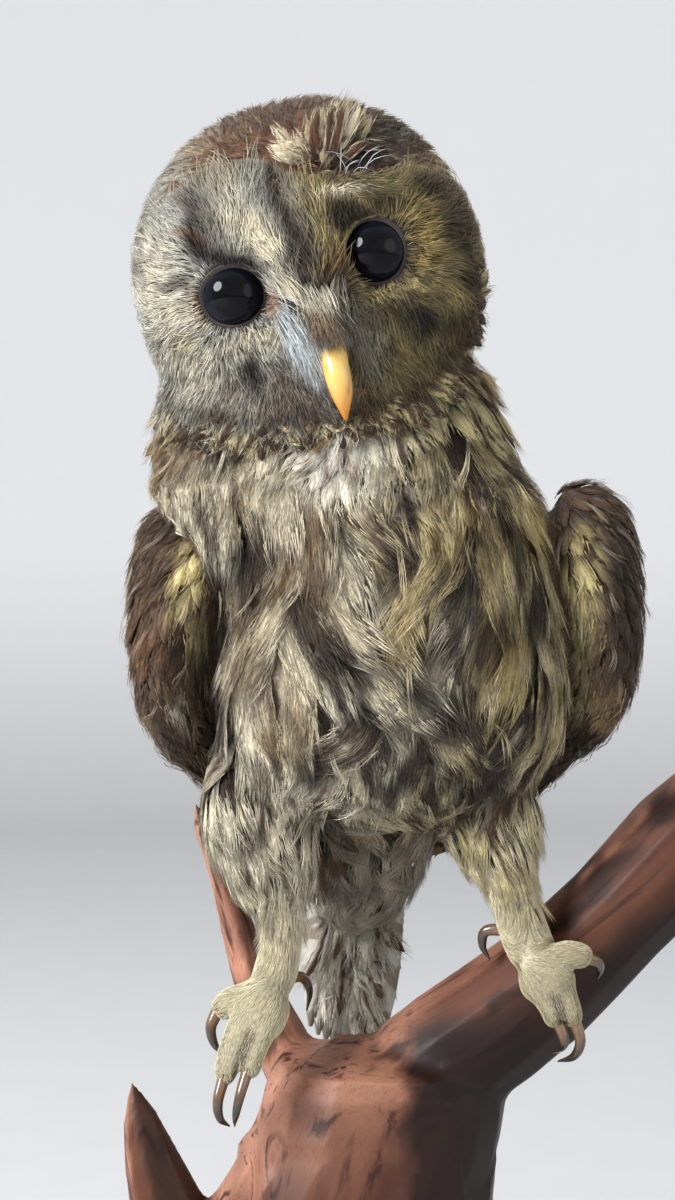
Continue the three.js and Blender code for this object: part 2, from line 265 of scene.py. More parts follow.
def shell(kind, nodes, tubes=()):
    """The solids of some nodes, and any tubes, as one closed surface with its edges softened."""
    grow, voxel, smoothing = SHELLS[kind]
    bm = bmesh.new()
    for node in nodes:
        bm.from_mesh(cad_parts[node].data)
    bmesh.ops.remove_doubles(bm, verts=bm.verts, dist=WELD)
    bm.normal_update()
    for v in bm.verts:
        v.co += v.normal * grow * MM
    for path, halves in tubes:
        verts, tris, _ = loft(path, halves, halves, (1, 0.2, 0), blunt=TUBE_END)
        corners = [bm.verts.new(v) for v in (verts * MM).tolist()]
        for tri in tris.tolist():
            bm.faces.new([corners[k] for k in tri])
    mesh = bpy.data.meshes.new("shell")
    bm.to_mesh(mesh)
    bm.free()
    obj = link(bpy.data.objects.new("shell", mesh))
    remesh = obj.modifiers.new("remesh", "REMESH")
    remesh.mode = "VOXEL"
    remesh.voxel_size = voxel * MM
    smooth = obj.modifiers.new("smooth", "SMOOTH")
    smooth.factor = 0.5
    smooth.iterations = smoothing
    made = obj.evaluated_get(bpy.context.evaluated_depsgraph_get()).to_mesh()
    made.calc_loop_triangles()
    verts = np.zeros(len(made.vertices) * 3, np.float32)
    made.vertices.foreach_get("co", verts)
    tris = np.zeros(len(made.loop_triangles) * 3, np.int32)
    made.loop_triangles.foreach_get("vertices", tris)
    bpy.data.objects.remove(obj)
    bpy.data.meshes.remove(mesh)
    return verts.reshape(-1, 3).astype(float) / MM, tris.reshape(-1, 3)


def new_object(name, verts, tris, uv=None, **data):
    """A mesh object from arrays in millimetres, with its vertex data as attributes."""
    mesh = bpy.data.meshes.new(name)
    mesh.vertices.add(len(verts))
    mesh.vertices.foreach_set("co", (np.asarray(verts) * MM).astype(np.float32).ravel())
    mesh.loops.add(tris.size)
    mesh.loops.foreach_set("vertex_index", tris.astype(np.int32).ravel())
    mesh.polygons.add(len(tris))
    mesh.polygons.foreach_set("loop_start", np.arange(0, tris.size, 3, dtype=np.int32))
    mesh.polygons.foreach_set("use_smooth", np.ones(len(tris), bool))
    for key, values in data.items():
        values = np.asarray(values, np.float32)
        if values.ndim == 1:
            mesh.attributes.new(key, "FLOAT", "POINT").data.foreach_set("value", values)
        else:
            mesh.attributes.new(key, "FLOAT_VECTOR", "POINT").data.foreach_set("vector", values.ravel())
    if uv is not None:
        layer = mesh.uv_layers.new(name="OFBake")
        layer.data.foreach_set("uv", uv[tris.ravel()].astype(np.float32).ravel())
    mesh.update(calc_edges=True)
    return link(bpy.data.objects.new(name, mesh))


def dress(obj, material, *nodes):
    """Gives a piece its material, lets it ride on the body, and shows it in place of some nodes."""
    obj.data.materials.append(material)
    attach(obj, BODY)
    if nodes:
        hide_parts(*nodes)
    return obj


FLESH = [
    "head", "face_disc_left", "face_disc_right", "neck", "trunk", "mantle", "rump", "vent", "thigh_left",
    "thigh_right",
]
LEG_PARTS = ["tarsus_{}", "foot_{}", "toe_{}_outer", "toe_{}_middle", "toe_{}_inner", "toe_{}_hind"]

# The middle of each foot.
PADS = {"right": np.array([-36.0, -21.0, 193.0]), "left": np.array([54.5, -25.0, 202.0])}
# Lines that the feathers follow: the shank, then the outer, middle, inner and hind toes.
LEG_LINES = {
    "right": [
        [(-37, 0, 252), (-33, -6, 232), (-30.3, -10, 219), (-31, -13, 207), (-34.5, -18, 196)],
        [(-38, -20, 195), (-42, -20, 195.5), (-46.5, -20, 194.5), (-51, -20, 190.5)],
        [(-39, -24, 192), (-43, -28, 187), (-46, -30.5, 180), (-47.7, -31.5, 171)],
        [(-34, -25, 192), (-36, -29, 187), (-38.5, -31.5, 180.5), (-40, -32.5, 173.5)],
        [(-34, -14, 193), (-33, -9, 195), (-31, -3, 197), (-29, 1, 197.5)],
    ],
    "left": [
        [(37, -1, 252), (41.5, -8, 239), (44.5, -14, 228), (48, -18.5, 216), (53, -23, 205)],
        [(56, -25, 207), (60, -26, 210.5), (64, -26, 210.8), (68, -25.5, 209)],
        [(57.5, -26, 201), (59.5, -28.5, 197.5), (61.2, -29.3, 193.5), (62.2, -28.5, 189)],
        [(53, -26, 200), (54.3, -28.5, 197), (55.8, -29.4, 193), (56.8, -28.5, 189)],
        [(51, -20, 208), (48, -17, 211.5), (45, -15, 214.5), (42, -13, 216.5)],
    ],
}
# Half widths along each of those lines. The ball of the foot is a tube of its own.
LEG_HALVES = {
    "right": [
        [12, 9, 7, 6.9, 8.2], [7.4, 5.4, 4.5, 3.9], [6.2, 4.6, 3.9, 3.6], [6.2, 4.5, 3.8, 3.5],
        [6.5, 5.2, 4.3, 3.6],
    ],
    "left": [
        [12, 9.2, 8, 7.9, 8], [6.6, 5.0, 4.2, 3.6], [5.8, 4.3, 3.6, 3.2], [5.8, 4.3, 3.6, 3.2],
        [6.4, 5.0, 4.4, 3.6],
    ],
}
FOOT_BALLS = {
    "right": (
        [(-33.5, -15, 199), (-36, -20.5, 194), (-38, -25, 188.5), (-39.5, -27, 185)], [6, 9.2, 8.2, 4],
    ),
    "left": (
        [(51, -21, 210), (54, -24.5, 203.5), (56, -26.5, 199), (57, -27.5, 195.5)], [6.5, 9.0, 7.6, 4],
    ),
}


def leg_tubes(side):
    """The shank, the toes and the ball of the foot as lines with half widths."""
    return [*zip(LEG_LINES[side], LEG_HALVES[side]), FOOT_BALLS[side]]


def leg_surface(side):
    """The shank and foot as smooth tubes that run together, with the thigh above them."""
    return Surface(*shell("leg", [f"thigh_{side}"], leg_tubes(side)))


body = Surface(*shell("body", FLESH))
legs = {s: leg_surface(s) for s in SIDES}
wings = {s: Surface(*shell("wing", [f"wing_{s}_coverts", f"wing_{s}_primaries"])) for s in SIDES}


# ------------------------------------------------------------------ materials
class Shader:
    """A node material with short ways to add and join nodes."""

    def __init__(self, name):
        self.material = bpy.data.materials.new(name)
        self.material.use_nodes = True
        self.tree = self.material.node_tree
        self.main = self.tree.nodes["Principled BSDF"]

    def add(self, kind, inputs=None, **settings):
        """A new node with its settings, and its inputs given as values or joined to other nodes."""
        node = self.tree.nodes.new(kind)
        for key, value in settings.items():
            setattr(node, key, value)
        for key, value in (inputs or {}).items():
            self.put(node.inputs[key], value)
        return node

    def put(self, socket, value):
        if isinstance(value, bpy.types.NodeSocket):
            self.tree.links.new(value, socket)
        else:
            socket.default_value = value

    def attribute(self, name, vector=False):
        node = self.add("ShaderNodeAttribute", attribute_name=name)
        return node.outputs["Vector" if vector else "Fac"]

    def math(self, operation, a, b=0.0):
        return self.add("ShaderNodeMath", {0: a, 1: b}, operation=operation).outputs[0]

    def times(self, a, b):
        return self.math("MULTIPLY", a, b)

    def place(self):
        """Coordinates that stay with the piece."""
        return self.add("ShaderNodeTexCoord").outputs["Object"]

    def ramp(self, value, low, high, to_low=0.0, to_high=1.0, smooth=True):
        """The value moved from one range to another, and held at its ends."""
        inputs = {"Value": value, "From Min": low, "From Max": high, "To Min": to_low, "To Max": to_high}
        kind = "SMOOTHSTEP" if smooth else "LINEAR"
        return self.add("ShaderNodeMapRange", inputs, interpolation_type=kind).outputs["Result"]

    def vector(self, x, y, z):
        return self.add("ShaderNodeCombineXYZ", {0: x, 1: y, 2: z}).outputs[0]

    def noise(self, vector, scale, detail=2.0, roughness=0.5, distortion=0.0):
        inputs = {"Vector": vector, "Scale": scale, "Detail": detail}
        inputs |= {"Roughness": roughness, "Distortion": distortion}
        return self.add("ShaderNodeTexNoise", inputs).outputs["Fac"]

    def mix(self, factor, a, b, blend="MIX"):
        node = self.add("ShaderNodeMix", data_type="RGBA", blend_type=blend, clamp_factor=True)
        for socket, value in ((node.inputs[0], factor), (node.inputs[6], a), (node.inputs[7], b)):
            if isinstance(value, (tuple, list, np.ndarray)):
                value = (*[float(v) for v in value][:3], 1.0)
            self.put(socket, value)
        return node.outputs[2]

    def grey(self, value):
        return self.add("ShaderNodeCombineColor", {0: value, 1: value, 2: value}).outputs[0]

    def bump(self, height, strength, distance):
        inputs = {"Height": height, "Strength": strength, "Distance": distance * MM}
        self.put(self.main.inputs["Normal"], self.add("ShaderNodeBump", inputs).outputs["Normal"])

    def set(self, **inputs):
        """Sets the shader's own inputs and gives back the material."""
        for key, value in inputs.items():
            if isinstance(value, np.ndarray):
                value = (*[float(v) for v in value], 1.0)
            self.put(self.main.inputs[key.replace("_", " ")], value)
        return self.material


def feather_material(name, bars):
    """Pale feathers with a dark streak along the middle, and painted shade that darkens each towards its
    root, where the feathers overlap. bars adds bands across them, as many as given.
    """
    s = Shader(name)
    across, along = s.attribute("across"), s.attribute("along")
    side = s.math("ABSOLUTE", across)
    barb = s.math("SUBTRACT", s.times(along, 9.0), s.times(side, 2.2))
    place = s.vector(barb, across, s.times(s.attribute("seed"), 91.0))
    coarse = s.noise(place, 1.3, 2.0, 0.55)
    fine = s.noise(place, 6.0, 2.0, 0.7)
    rough = s.times(s.math("SUBTRACT", coarse, 0.5), 0.4)
    streak = s.times(s.attribute("streak"), s.ramp(along, 0.2, 1.0, 1.25, 0.8, False))
    inside = s.math("SUBTRACT", streak, s.math("ADD", side, rough))
    mask = s.ramp(inside, -0.18, 0.16)
    if bars:
        turn = s.math("ADD", s.times(along, bars * 2 * math.pi), s.times(rough, 6.0))
        wave = s.math("SINE", s.math("SUBTRACT", turn, s.times(side, 1.6)))
        mask = s.math("MAXIMUM", mask, s.ramp(wave, -0.25, 0.35))
    colour = s.mix(mask, s.attribute("pale", True), s.attribute("dark", True))
    # painted shade: each feather darker towards its root, where it lies under the ones above it
    root = s.ramp(along, 0.0, 0.55, 0.5, 1.0)
    varied = s.times(s.ramp(fine, 0.25, 0.75, -0.22, 0.16), s.ramp(s.attribute("streak"), -0.6, -0.42))
    level = s.times(s.math("ADD", varied, 1.0), root)
    colour = s.mix(1.0, colour, s.grey(s.times(level, s.attribute("shade"))), "MULTIPLY")
    s.bump(fine, 0.4, 0.3)
    s.set(Base_Color=colour, Roughness=0.62, Specular_IOR_Level=0.22)
    return s.set(Sheen_Weight=0.1, Sheen_Roughness=0.5)


FEATHER = feather_material("owl_feathers", 0)
BARRED = feather_material("owl_barred_feathers", 6.3)


# ------------------------------------------------------------------ feather shapes
TUFT_PATCH = 0.003  # size of one tuft on the bake map


class Shape:
    """One feather or lock, given across from -1 to 1, along from 0 to 1, and up in millimetres.

    width and length are the half width and the length at which it is drawn. cell is how far the roots of its
    tufts lie apart on the bake map.
    """

    def __init__(self, width, length, cell=(0, 0)):
        self.plan = np.array([width, length, 1.0])
        self.cell = np.array(cell, float)
        self.verts, self.tris, self.uvs, self.shades, self.count = [], [], [], [], 0

    def put(self, verts, tris, uvs, shade=1.0):
        self.verts.append(np.asarray(verts, float))
        self.tris.append(np.asarray(tris, int) + self.count)
        self.uvs.append(np.asarray(uvs, float))
        self.shades.append(np.full(len(verts), shade))
        self.count += len(verts)
        return self

    def strand(self, path, width, thick=0.3, shade=1.0):
        """A closed blade, triangular in section, that follows the path and tapers from width to a point."""
        path = np.asarray(path, float)
        plan = path * self.plan
        ahead = unit(np.gradient(plan, axis=0))
        side = unit(np.stack([ahead[:, 1], -ahead[:, 0], np.zeros(len(plan))], 1))
        rings = len(plan) - 1
        root = path[0, :2] * self.cell
        verts, uvs = [], []
        for k in range(rings):
            half = width / 2 * (1 - (k / rings) ** 1.7 * 0.7) * (0.75 if k == 0 else 1)
            verts += [plan[k] - side[k] * half, plan[k] + side[k] * half, plan[k] + (0, 0, thick)]
            uvs += [root + np.array([j * 0.4, k / rings]) * TUFT_PATCH for j in (-1, 1, 0)]
        verts.append(plan[-1])
        uvs.append(root + np.array([0, 1]) * TUFT_PATCH)
        tris = [(0, 1, 2), *ring_tris(rings, 3, True)]
        last = 3 * (rings - 1)
        tris += [(last + j, len(verts) - 1, last + (j + 1) % 3) for j in range(3)]
        return self.put(np.array(verts) / self.plan, tris, uvs, shade)

    def vane(self, profile, ridge=0.5, under=0.15, droop=0.9, end=1.0, shade=1.0):
        """A closed leaf shape with a ridge along the shaft. profile is its half width at even stations."""
        rows = len(profile)
        verts = []
        for k, half in enumerate(profile):
            v = end * k / (rows - 1)
            fall = -droop * half**2
            verts += [(-half, v, fall), (0, v, ridge), (half, v, fall), (0, v, -under)]
        e = 4 * (rows - 1)
        tris = [(0, 1, 2), (0, 2, 3), *ring_tris(rows, 4, True), (e, e + 2, e + 1), (e, e + 3, e + 2)]
        verts = np.array(verts)
        uvs = verts[:, :2] * np.maximum(self.cell, TUFT_PATCH * np.array([0.4, 1]))
        return self.put(verts, tris, uvs, shade)

    def done(self):
        self.verts, self.tris = np.vstack(self.verts), np.vstack(self.tris)
        self.uvs, self.shades = np.vstack(self.uvs), np.concatenate(self.shades)
        return self


def leaf(v):
    """Half width of a body feather along its length: broadest beyond the middle, with a rounded end."""
    return np.interp(v, (0, 0.15, 0.35, 0.6, 0.8, 0.95, 1.2), (0.35, 0.6, 0.85, 1.0, 0.88, 0.6, 0.15))


VANE_TAPER = (1, 1, 1, 1, 0.9, 0.62, 0.12)


def contour_shape(seed, strands, width, length, cell, strand_width=0.3, ragged=1.0, tips=3):
    """A soft body feather: a pointed vane under many fine barbs that gather into a few tips."""
    rng = np.random.default_rng(seed)
    shape = Shape(width, length, cell)
    bend = rng.uniform(-0.35, 0.35)
    end = 0.86
    profile = leaf(np.linspace(0, end, len(VANE_TAPER))) * 0.72 * VANE_TAPER
    shape.vane(profile, ridge=0.1, under=0.2, droop=0.6, end=end, shade=0.92)
    points = (np.arange(tips) - (tips - 1) / 2) * 0.5 + rng.uniform(-0.12, 0.12, tips)
    for k in range(strands):
        v0 = 0.82 * (k + rng.random()) / strands
        a0 = rng.uniform(-0.95, 0.95) * leaf(v0)
        v1 = v0 + rng.uniform(0.16, 0.34)
        edge = leaf(v1) * 1.1
        a1 = float(np.clip(a0 * 1.08 + rng.normal(0, 0.12), -edge, edge))
        near = int(np.argmin(np.abs(points - a1)))
        gather = ease(v1, 0.8, 1.15) * rng.uniform(0.1, 0.75)
        a1 = a1 * (1 - gather) + points[near] * gather
        lift = rng.uniform(0, 0.25) + ragged * rng.random() ** 6 * 1.6
        a1 += bend * (v1 - v0) ** 2
        path = [(a0, v0, 0.25 * (1 - abs(a0))), (a1, v1, 0.25 * (1 - abs(a1)) + lift)]
        shape.strand(path, strand_width * rng.uniform(0.7, 1.3), strand_width * 0.4, rng.uniform(0.84, 1.14))
    return shape.done()


def lock_shape(seed, strands, width, length, cell, strand_width=0.8, spread=1.0, rings=3, lift_most=1.5):
    """A loose lock: fine strands from one root that fan out and curl a little."""
    rng = np.random.default_rng(seed)
    shape = Shape(width, length, cell)
    bend = rng.uniform(-0.6, 0.6)
    for _ in range(strands):
        a0 = rng.uniform(-0.45, 0.45)
        v0 = rng.uniform(0, 0.3)
        v1 = rng.uniform(0.7, 1.08)
        a1 = a0 * 0.8 + rng.uniform(-0.6, 0.6) * spread
        lift = rng.uniform(0, 1) ** 2 * lift_most
        sway = rng.normal(0, 0.12)
        path = []
        for f in np.linspace(0, 1, rings + 1):
            a = a0 + (a1 - a0) * f + sway * math.sin(math.pi * f) + bend * f * f
            path.append((a, v0 + (v1 - v0) * f, 0.4 * (1 - abs(a)) + lift * f * f))
        shape.strand(path, strand_width * rng.uniform(0.7, 1.3), strand_width * 0.4, rng.uniform(0.85, 1.12))
    return shape.done()


def hair_shape(seed, width, rings=2):
    """One fine strand."""
    rng = np.random.default_rng(seed)
    shape = Shape(1.0, 10.0)
    sway = rng.uniform(-0.5, 0.5)
    path = [(sway * math.sin(math.pi * v), v, 0.15 * v) for v in np.linspace(0, 1, rings + 1)]
    return shape.strand(path, width, width * 0.45).done()


def flight_shape(seed, splits=16):
    """A long stiff feather with close vanes, a shaft and a few splits along its edges."""
    rng = np.random.default_rng(seed)
    shape = Shape(7.0, 80.0, (0.012, 0.06))
    profile = np.array([0.3, 0.7, 0.88, 0.96, 1.0, 1.0, 1.0, 0.98, 0.93, 0.8, 0.52, 0.1])
    shape.vane(profile * (1 + rng.uniform(-0.03, 0.03, len(profile))), ridge=0.55, under=0.1, droop=0.5)
    shaft = [(0, 0.0, 0.45), (0, 0.3, 0.6), (0, 0.65, 0.62), (0, 0.97, 0.5)]
    shape.strand(shaft, 1.1, 0.4, 0.8)
    for _ in range(splits):
        side = rng.choice([-1, 1])
        v = rng.uniform(0.3, 0.93)
        wide = np.interp(v, np.linspace(0, 1, len(profile)), profile)
        steps = ((0.55, -0.05, 0.2), (0.85, -0.015, 0.0), (1.05, 0.03, -0.2))
        shape.strand([(side * wide * out, v + ahead, up) for out, ahead, up in steps], 1.5, 0.3)
    return shape.done()


# Each kind of feather in several forms. The numbers are seed, strands, half width, length, cell and strand
# width; then how ragged a contour feather is and in how many tips it ends.
BREAST = [contour_shape(s, 290, 7.5, 38, (0.008, 0.04), 0.34) for s in range(10)]
THROAT = [contour_shape(20 + s, 110, 4.6, 21, (0.007, 0.03), 0.28) for s in range(8)]
BACK = [contour_shape(40 + s, 100, 7.5, 36, (0.008, 0.04), 0.6, 0.5) for s in range(6)]
SMALL = [contour_shape(60 + s, 58, 3.4, 14, (0.004, 0.01), 0.27, 0.4, 2) for s in range(8)]
PLUME = [contour_shape(70 + s, 70, 2.6, 15, (0.004, 0.01), 0.25, 0.8, 2) for s in range(6)]
FLUFF = [lock_shape(80 + s, 34, 4.5, 26, (0.006, 0.02), 0.36, 1.0, 2) for s in range(8)]
WISP = [lock_shape(120 + s, 7, 2.2, 22, (0.003, 0.0), 0.2, 1.0, 4, 2.0) for s in range(6)]
HAIR = [hair_shape(140 + s, 0.36, 2) for s in range(6)]
DOWN = [hair_shape(146 + s, 0.22) for s in range(4)]
BRISTLE = [hair_shape(150 + s, 0.28, 4) for s in range(5)]
FLIGHT = [flight_shape(160 + s) for s in range(5)]


# ------------------------------------------------------------------ laying feathers
SPINE = 6  # points along each spine


def lay(surface, roots, headings, lengths, curl=0.0, flow=None, follow=0.25):
    """Spines that run over a surface from their roots, as places and normals of SPINE points each."""
    place, normal = surface.nearest(roots)
    heading = flatten(headings, normal)
    places, normals = [place], [normal]
    step = (lengths / (SPINE - 1))[:, None]
    curl = np.broadcast_to(curl, lengths.shape)[:, None] / (SPINE - 1)
    for _ in range(SPINE - 1):
        if flow is not None:
            heading = unit(heading * (1 - follow) + flow(place, normal) * follow)
        target, normal = surface.nearest(place + heading * step)
        moved = flatten(target - place, normal)
        heading = unit(moved + np.cross(normal, moved) * curl)
        place = place + unit(target - place) * step
        places.append(place)
        normals.append(normal)
    return np.stack(places, 1), np.stack(normals, 1)


def grow(surface, roots, normals, flow, lengths, rng, stray, curl, back=0.0, follow=0.25):
    """Spines along a flow, a little astray and curled; back is how much of each lies behind its root."""
    headings = flow(roots, normals) + rng.normal(0, stray, roots.shape)
    roots = roots - flatten(headings, normals) * (lengths * back)[:, None]
    return lay(surface, roots, headings, lengths, rng.normal(0, curl, len(roots)), flow, follow)


def arcs(roots, first, last, lengths, normals):
    """Free spines that leave their roots one way and end another way."""
    t = np.linspace(0, 1, SPINE - 1)[None, :, None]
    ways = unit(first[:, None] * (1 - t) + last[:, None] * t)
    steps = np.cumsum(ways * (lengths / (SPINE - 1))[:, None, None], 1)
    places = np.concatenate([roots[:, None], roots[:, None] + steps], 1)
    return places, np.repeat(normals[:, None], SPINE, 1)


def scatter(surface, spacing, seed, stretch=(1, 1, 1), crowd=5.0):
    """Points spread over a surface, no closer than the spacing function says at each place.

    A spacing of 0 means none there. stretch is how much further apart they keep along each axis. crowd is how
    many are tried for the area that one needs.
    """
    rng = np.random.default_rng(seed)
    corners = surface.verts[surface.tris]
    gaps = spacing(corners.mean(1))
    weight = np.where(gaps > 0, surface.area / np.maximum(gaps, 0.1) ** 2, 0)
    count = int(weight.sum() * crowd)
    chosen = rng.choice(len(weight), count, p=weight / weight.sum())
    r1, r2 = np.sqrt(rng.random(count)), rng.random(count)
    bary = np.stack([1 - r1, r1 * (1 - r2), r1 * r2], 1)
    points = (corners[chosen] * bary[..., None]).sum(1)
    gaps = gaps[chosen]
    cell = float(gaps.max())
    measured = points / np.array(stretch, float)
    grid, kept = {}, []
    around = [(a, b, c) for a in (-1, 0, 1) for b in (-1, 0, 1) for c in (-1, 0, 1)]
    cells = np.floor(measured / cell).astype(int).tolist()
    for i, ((i0, j0, k0), (x, y, z), gap) in enumerate(zip(cells, measured.tolist(), gaps.tolist())):
        near = gap * gap
        others = (p for a, b, c in around for p in grid.get((i0 + a, j0 + b, k0 + c), ()))
        if all((a - x) ** 2 + (b - y) ** 2 + (c - z) ** 2 >= near for a, b, c in others):
            grid.setdefault((i0, j0, k0), []).append((x, y, z))
            kept.append(i)
    return points[kept], surface.tri_normals[chosen[kept]]


PIECE_TRIANGLES = 190000  # the most for one piece


class Coat:
    """Gathers feathers and makes them into mesh pieces."""

    def __init__(self, name, unwrap, material=FEATHER):
        self.name, self.unwrap, self.material = name, unwrap, material
        self.batches = []

    def add(self, shapes, places, normals, widths, height, seed, pale, dark, streak, repaint=None):
        """Sets feathers on spines. height is how far each spine point stands above the surface.

        repaint, if given, changes the feathers' colours by the place of each of their points.
        """
        rng = np.random.default_rng(seed)
        count = len(places)
        widths = np.broadcast_to(widths, count)
        pale, dark = np.broadcast_to(pale, (count, 3)), np.broadcast_to(dark, (count, 3))
        streak = np.broadcast_to(streak, count)
        root_uv = self.unwrap(places[:, 0])
        places = places + normals * np.broadcast_to(height, places.shape[:2])[..., None]
        ahead = unit(np.gradient(places, axis=1))
        side = unit(np.cross(ahead, normals))
        up = unit(np.cross(side, ahead))
        pick = rng.integers(0, len(shapes), count)
        random = rng.random(count)
        for index, shape in enumerate(shapes):
            mine = np.flatnonzero(pick == index)
            if not len(mine):
                continue
            across, along, rise = shape.verts.T
            t = np.clip(along, 0, 1.25) * (places.shape[1] - 1)
            low = np.clip(t.astype(int), 0, places.shape[1] - 2)
            f = (t - low)[:, None]

            def on_spine(values):
                return values[mine][:, low] * (1 - f) + values[mine][:, low + 1] * f

            reach = (across[None] * widths[mine][:, None])[..., None]
            verts = on_spine(places) + on_spine(side) * reach + on_spine(up) * rise[None, :, None]
            size = len(across)
            tris = shape.tris[None] + (np.arange(len(mine)) * size)[:, None, None]
            verts = verts.reshape(-1, 3)
            colours = [np.repeat(c[mine], size, 0) for c in (pale, dark)]
            if repaint:
                colours = [repaint(c, verts) for c in colours]
            self.batches.append(
                {
                    "verts": verts,
                    "tris": tris.reshape(-1, 3),
                    "uv": (root_uv[mine][:, None] + shape.uvs[None]).reshape(-1, 2),
                    "across": np.tile(across, len(mine)),
                    "along": np.tile(along, len(mine)),
                    "shade": np.tile(shape.shades, len(mine)),
                    "seed": np.repeat(random[mine], size),
                    "streak": np.repeat(streak[mine], size),
                    "pale": colours[0],
                    "dark": colours[1],
                }
            )
        return self

    def build(self, *nodes):
        """Makes as many pieces as the triangles need; the first one is shown in place of the nodes."""
        groups, load = [[]], 0
        for batch in self.batches:
            if load + len(batch["tris"]) > PIECE_TRIANGLES:
                groups.append([])
                load = 0
            groups[-1].append(batch)
            load += len(batch["tris"])
        for number, group in enumerate(groups):
            offsets = np.cumsum([0] + [len(b["verts"]) for b in group[:-1]])
            tris = np.vstack([b["tris"] + o for b, o in zip(group, offsets)])
            data = {k: np.concatenate([b[k] for b in group]) for k in group[0] if k != "tris"}
            name = self.name if len(groups) == 1 else f"{self.name}_{number + 1}"
            obj = new_object(name, data.pop("verts"), tris, **data)
            dress(obj, self.material, *(nodes if number == 0 else ()))


def rise(depth, top, extra, power=0.8):
    """Heights along spines: from the skin under the coat up to its surface, and a little more for each."""
    t = np.linspace(0, 1, SPINE)[None] ** power
    return -np.reshape(depth, (-1, 1)) * (1 - t) + t * (top + np.reshape(extra, (-1, 1)))


def line_dots(lines, count):
    """Places along some smooth lines, and the way each line runs there."""
    places = [catmull(line, np.linspace(0, 1, count)) for line in lines]
    return np.vstack(places), np.vstack([unit(np.gradient(p, axis=0)) for p in places])


def closeness(points, dots, blend):
    """How much each dot counts at each point: the nearest counts 1, and the others less with distance."""
    gap = ((points[:, None] - dots[None]) ** 2).sum(2)
    return np.exp(-(gap - gap.min(1, keepdims=True)) / (2 * blend**2))


def along_lines(lines, blend):
    """A flow that runs the way of the nearest of some smooth lines."""
    dots, ways = line_dots(lines, 20)

    def flow(points, normals):
        return flatten(closeness(points, dots, blend) @ ways, normals)

    return flow


def swirl(way, normals, turn):
    """Directions in the surface, turned about its normals."""
    return unit(way + np.cross(normals, way) * turn[:, None])


def far_from(line, points):
    """How far points are from a smooth line, and how far along it, 0 to 1, the nearest place is."""
    t = np.linspace(0, 1, 41)
    gap = np.linalg.norm(points[:, None] - catmull(line, t)[None], axis=2)
    return gap.min(1), t[gap.argmin(1)]


# ------------------------------------------------------------------ unwraps of the skin's shape
def round_upright(centre, low, high):
    """Unrolls a shape round an upright axis: angle, and height between low and high."""

    def unwrap(points):
        angle = np.arctan2(points[:, 0] - centre[0], -(points[:, 1] - centre[1])) / (2 * math.pi)
        up = np.clip((points[:, 2] - low) / (high - low), 0, 1)
        return np.stack([0.5 + angle * 0.97, 0.01 + 0.93 * up], 1)

    return unwrap


def round_head(points):
    """Unrolls the head as a ball, with its pole at the crown."""
    p = to_head(points)
    angle = np.arctan2(p[:, 0], -p[:, 1]) / (2 * math.pi)
    polar = np.arccos(np.clip(p[:, 2] / np.maximum(np.linalg.norm(p, axis=1), 1e-6), -1, 1)) / math.pi
    return np.stack([0.5 + angle * 0.97, 0.98 - 0.96 * polar], 1)


# ------------------------------------------------------------------ plumage colours
WHITE = srgb(244, 240, 228)
CREAM = srgb(236, 226, 198)
GREY_CREAM = srgb(218, 210, 188)
GREY = srgb(158, 150, 134)
KHAKI = srgb(200, 184, 130)
GOLD = srgb(206, 178, 108)
OLIVE = srgb(150, 134, 90)
BUFF = srgb(196, 164, 116)
RUFOUS = srgb(150, 104, 68)
CHESTNUT = srgb(122, 80, 52)
BROWN = srgb(100, 76, 56)
PURPLE = srgb(96, 80, 78)
DARK = srgb(60, 44, 34)
BLACKISH = srgb(34, 27, 23)
PALE_LEG = srgb(250, 240, 206)
ICE = srgb(214, 218, 220)
TAN = srgb(150, 128, 104)
COOL_GREY = srgb(178, 176, 166)

TRUNK_MIDDLE = np.array([3.0, 2.0])
THIGHS = {
    "right": [(-30, 4, 276), (-37, 0, 252), (-33, -6, 232), (-29, -9, 219)],
    "left": [(30, 4, 276), (37, -1, 252), (42, -8, 239), (44, -12, 229)],
}

# Ovals on the front of the body: x, z, two radii and a tilt.
DARK_STREAKS = [
    (1, 328, 4, 11, -20), (28, 331, 4, 13, 0), (45, 361, 4, 8, -35), (23, 308, 5, 7, -10),
    (17, 289, 4.5, 13, 35), (-14, 307, 5, 10, 40), (-37, 331, 9, 5, 25), (16, 277, 6, 9, 10),
    (48, 285, 3, 12, -25), (27, 287, 5, 8, 0), (51, 320, 3.5, 16, 0), (27, 314, 5, 6, 0),
    # (-52, 314) is painted shade in the hollow between the right flank and the wing
    (20, 361, 4, 7, 20), (39, 352, 4, 10, 30), (-52, 314, 4, 22, 0), (-40, 336, 6, 10, -20),
    (-18, 268, 6, 5, 0), (6, 266, 7, 5, 0), (38, 272, 4, 8, 20), (-50, 286, 5, 10, 0),
    (43, 338, 3.5, 15, 8), (39, 316, 3.5, 11, -12), (8, 351, 3.5, 8, 35), (-4, 287, 3.5, 10, 35),
    (33, 262, 8, 5, 0), (-8, 300, 4, 8, 40),
]
BROWN_PATCHES = [
    (-19, 333, 9, 11, 20), (-58, 359, 6, 8, 20), (-41, 353, 7, 10, 0), (-35, 325, 12, 7, 30),
    (2, 343, 8, 7, 30), (-40, 300, 8, 14, 0), (-70, 366, 12, 12, 0), (35, 300, 6, 10, -20),
    (-28, 280, 10, 8, 20), (-14, 312, 8, 10, -30),
]
PALE_PATCHES = [
    (-9, 335, 5, 9, 0), (-5, 319, 7, 12, 0), (-33, 360, 9, 10, 0), (20, 297, 6, 9, 30), (-37, 290, 6, 9, 0),
    (11, 284, 7, 9, 30), (-17, 360, 16, 10, 0), (-24, 303, 5, 10, 0), (-49, 357, 8, 8, 0),
]
THROAT_PATCH = (-14, 369, 15, 13, 6)
